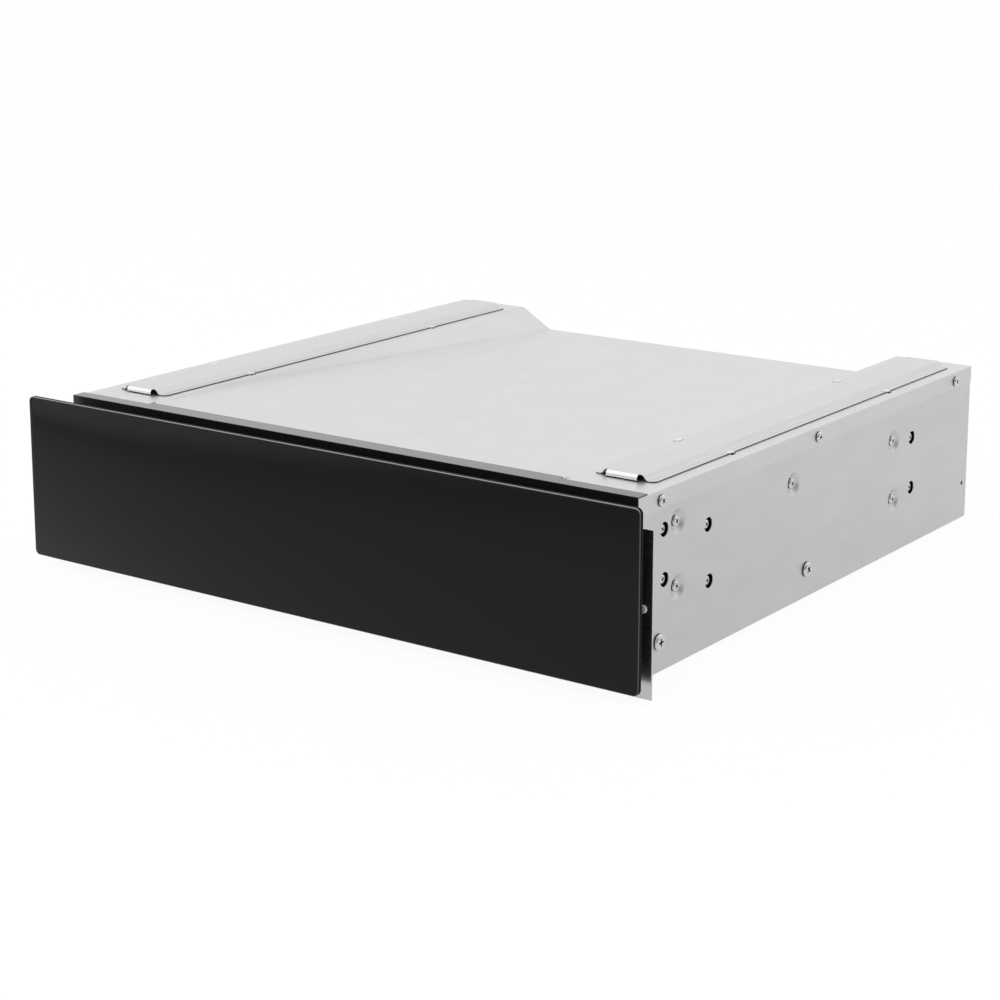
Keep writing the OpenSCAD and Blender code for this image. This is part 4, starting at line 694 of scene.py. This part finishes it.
formed("tray", "drawer_tray", "drawer", "tray_steel", [satin],
       [(lambda a, b: on_box_corner(a, b, 0), outer_fold),
        (lambda a, b: on_box_corner(a, b, wall_t), inner_fold)])
finished("tray_screws", zinc)

# Mat: a ribbed sheet of black rubber, calendered and cut to size. It lies loose in the tray and keeps
# plates from sliding, and its skin is dull with a fine weave.
mat_rubber, shader = material("calendered_mat_rubber", Roughness=0.7)
mat_weave = grained(mat_rubber, 1100, detail=3)
tinted(mat_rubber, shader, mat_weave, "#262628", "#343437")
embossed(mat_rubber, shader, mat_weave, 0.5, 0.00012)
formed("tray_mat", "anti_slip_mat", "drawer", "mat_rubber", [mat_rubber], ease=0.0002, angle=50)

# Steel plate behind the glass: 1 mm stainless steel, brushed from end to end, that closes the drawer
# and stands out below and beside the glass. A domed rivet holds it near each end.
brushed, shader = material("brushed_stainless_steel", Metallic=1.0, Anisotropic=0.5)
strokes = grained(brushed, 2600, (0.012, 1, 1), 3)
tinted(brushed, shader, strokes, "#CDCECF", "#DADADB")
glossed(brushed, shader, strokes, 0.26, 0.32)
embossed(brushed, shader, strokes, 0.05, 0.00002)
# Stainless steel for the plate's cut edges, deburred and painted lighter than the face, a painted highlight.
plate_edge_highlight, shader = material("deburred_stainless_edge_painted_highlight", Metallic=1.0, Base_Color=linear("#E8E8E9"))
glossed(plate_edge_highlight, shader, grained(plate_edge_highlight, 900), 0.5, 0.66)
plate = formed("front_plate", "brushed_front_plate", "drawer", "plate_steel", [brushed, plate_edge_highlight],
               ease=0.0004)
plate_lo, plate_hi = (Vector(v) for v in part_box("front_plate"))
# The cut edges are painted lighter, a painted highlight along them.
paint(plate, 1, lambda c, n: abs(n.y) < 0.95)
front_w = 0.595
rivet_x = front_w * 0.487
rivet_z = plate_lo.z + (plate_hi.z - plate_lo.z) * 0.532
# The rivet heads are painted near white and half diffuse, a painted highlight on their domes.
rivet_head_highlight, shader = material("dull_aluminium_rivet_head_painted_highlight", Metallic=0.5, Base_Color=linear("#F4F4F4"))
glossed(rivet_head_highlight, shader, grained(rivet_head_highlight, 1100), 0.34, 0.46)
rivet = pan_screw(head_r=0.003, head_h=0.0012, shank_r=0.0016, shank_l=0.0022, crossed=False)
rivet.data.materials[0] = rivet_head_highlight
places = [((sign * rivet_x, plate_lo.y, rivet_z), (0, -1, 0)) for sign in (-1, 1)]
set_of("plate_rivet_pair", rivet, places, "drawer", "screw_zinc", "plate_rivets")

# Glass brackets: three steel strips, folded and phosphated black. They stand the glass off the plate,
# so a dark gap shows between the two.
formed("glass_brackets", "glass_bracket_set", "drawer", "bracket_black", [bracket_coat])

# Glass front: 4 mm tempered glass, printed black on its back, with its corners ground round. Its side
# faces are near black and dull, and its front arris is ground matt: painted light grey on top, a painted
# highlight, and painted darker at the sides and below, a painted shade.
glass_corner = 0.0047
arris_w = 0.0006
glass_lo, glass_hi = (Vector(v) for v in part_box("front_glass"))
bpy.ops.mesh.primitive_cube_add(size=1, location=(glass_lo + glass_hi) / 2)
glass = bpy.context.object
glass.name = "glass_front"
glass.scale = glass_hi - glass_lo
bpy.ops.object.transform_apply(location=True, rotation=False, scale=True)
pick_edges(glass, lambda a, b: abs(a.y - b.y) > 0.001)
bpy.ops.mesh.bevel(offset=glass_corner, offset_type="OFFSET", segments=10, affect="EDGES")
pick_edges(glass, lambda a, b: abs(a.y - b.y) < 1e-6 and (a - b).length < 1)
bpy.ops.mesh.bevel(offset=arris_w, offset_type="OFFSET", segments=2, affect="EDGES")
bpy.ops.object.mode_set(mode="OBJECT")
shade(glass, 30)
black_glass, shader = material("black_printed_tempered_glass", Base_Color=linear("#050506"), Roughness=0.14,
                               IOR=1.5, Specular_IOR_Level=0.27)
# Ground glass for the top of the arris, painted light grey, a painted highlight.
ground_edge_lit, shader = material("ground_glass_edge_painted_highlight", IOR=1.5)
grit = grained(ground_edge_lit, 2600, detail=1)
tinted(ground_edge_lit, shader, grit, "#84868A", "#9A9C9E")
glossed(ground_edge_lit, shader, grit, 0.3, 0.42)
embossed(ground_edge_lit, shader, grit, 0.3, 0.00004)
# Ground glass for the arris at the sides and below, painted darker, a painted shade.
shadow_edge, shader = material("ground_glass_edge_painted_shade", IOR=1.5)
tinted(shadow_edge, shader, grained(shadow_edge, 2600, detail=1), "#404245", "#4E5053")
# The side faces are made near black and dull.
dark_glass_side, shader = material("near_black_glass_side", Base_Color=linear("#060607"), Specular_IOR_Level=0.12)
glossed(dark_glass_side, shader, grained(dark_glass_side, 2600, detail=1), 0.6, 0.75)
for finish in (black_glass, ground_edge_lit, dark_glass_side, shadow_edge):
    glass.data.materials.append(finish)
# The front arris is painted light on top, a painted highlight, and darker at the sides and below, a painted
# shade.
paint(glass, 1, lambda c, n: -0.99 < n.y < -0.1)
paint(glass, 3, lambda c, n: -0.99 < n.y < -0.1 and n.z < 0.25)
paint(glass, 2, lambda c, n: abs(n.y) < 0.1)
belongs(glass, "drawer", "front_glass_black", "front_glass")

# Floor and surroundings: white paper that runs out of sight in a white studio. Metal mirrors both
# greyer than they look: the floor more so towards the front, and the studio towards the front right
# corner of the room, which is darker.
bpy.ops.mesh.primitive_plane_add(size=80, location=(0, 0, cad_box[0][2] - 0.0002))
floor = bpy.context.object
floor.name = "floor"
paper, shader = material("white_floor_paper", Base_Color=linear("#FFFFFF"), Roughness=0.95,
                         Specular_IOR_Level=0.1)
path = add(paper, "LightPath").outputs
seen = add(paper, "Math", {0: path["Is Camera Ray"], 1: path["Is Glossy Ray"]}, operation="MAXIMUM")
seen = add(paper, "Math", {0: seen.outputs[0], 1: path["Is Transmission Ray"]}, operation="MAXIMUM")
share = add(paper, "Math", {0: seen.outputs[0], 1: 0.93}, operation="MULTIPLY")
along = add(paper, "SeparateXYZ", {0: add(paper, "TexCoord").outputs["Object"]}).outputs["Y"]
mirrored = add(paper, "MapRange", {"Value": along, "From Min": -2.5, "From Max": 0.7,
                                   "To Min": 0.42, "To Max": 0.90}).outputs[0]
level = add(paper, "Mix", {0: path["Is Glossy Ray"], 2: 1.01, 3: mirrored}, data_type="FLOAT")
glow = add(paper, "Emission", {"Color": (1, 1, 1, 1), "Strength": level.outputs[0]})
blend = add(paper, "MixShader", {0: share.outputs[0], 1: shader.outputs[0], 2: glow.outputs[0]})
paper.node_tree.links.new(blend.outputs[0], paper.node_tree.nodes["Material Output"].inputs["Surface"])
floor.data.materials.append(paper)

world = bpy.data.worlds.new("white_studio")
bpy.context.scene.world = world
world.use_nodes = True
sky = world.node_tree.nodes["Background"]
sky.inputs["Color"].default_value = (1, 1, 1, 1)
path = add(world, "LightPath").outputs
heading = add(world, "TexCoord").outputs["Generated"]
to_right = add(world, "VectorMath", {0: heading, 1: (0.8, -0.6, 0)}, operation="DOT_PRODUCT").outputs["Value"]
dim = add(world, "MapRange", {"Value": to_right, "From Min": 0.1, "From Max": 0.7,
                              "To Min": 1.0, "To Max": 0.3}).outputs[0]
metal = add(world, "Mix", {0: path["Is Glossy Ray"], 2: 0.8, 3: dim}, data_type="FLOAT").outputs[0]
clear = add(world, "Math", {0: path["Is Camera Ray"], 1: path["Is Transmission Ray"]},
            operation="MAXIMUM").outputs[0]
level = add(world, "Mix", {0: clear, 2: metal, 3: 1.0}, data_type="FLOAT").outputs[0]
world.node_tree.links.new(level, sky.inputs["Strength"])

# Lamps: three soft boxes. The one overhead gives most of the light, a weak wide one behind the drawer
# lifts the slope of the recess, and one at the front left fills the front.
for name, place, aim, size, power in (
        ("top_softbox", (-0.3, -1.0, 2.1), (0, 0, 0), 2.2, 9),
        ("rear_softbox", (0, 1.8, 2.4), (0, 0, 0.06), 2.4, 1),
        ("left_softbox", (-1.9, -1.6, 1.2), (-0.1, -0.1, 0.06), 1.4, 3)):
    lamp = bpy.data.lights.new(name, "AREA")
    lamp.size = size
    lamp.energy = power
    lamp_object = bpy.data.objects.new(name, lamp)
    lamp_object.location = place
    lamp_object.rotation_euler = (Vector(aim) - Vector(place)).to_track_quat("-Z", "Y").to_euler()
    bpy.context.collection.objects.link(lamp_object)

bpy.context.scene.view_settings.view_transform = "Standard"
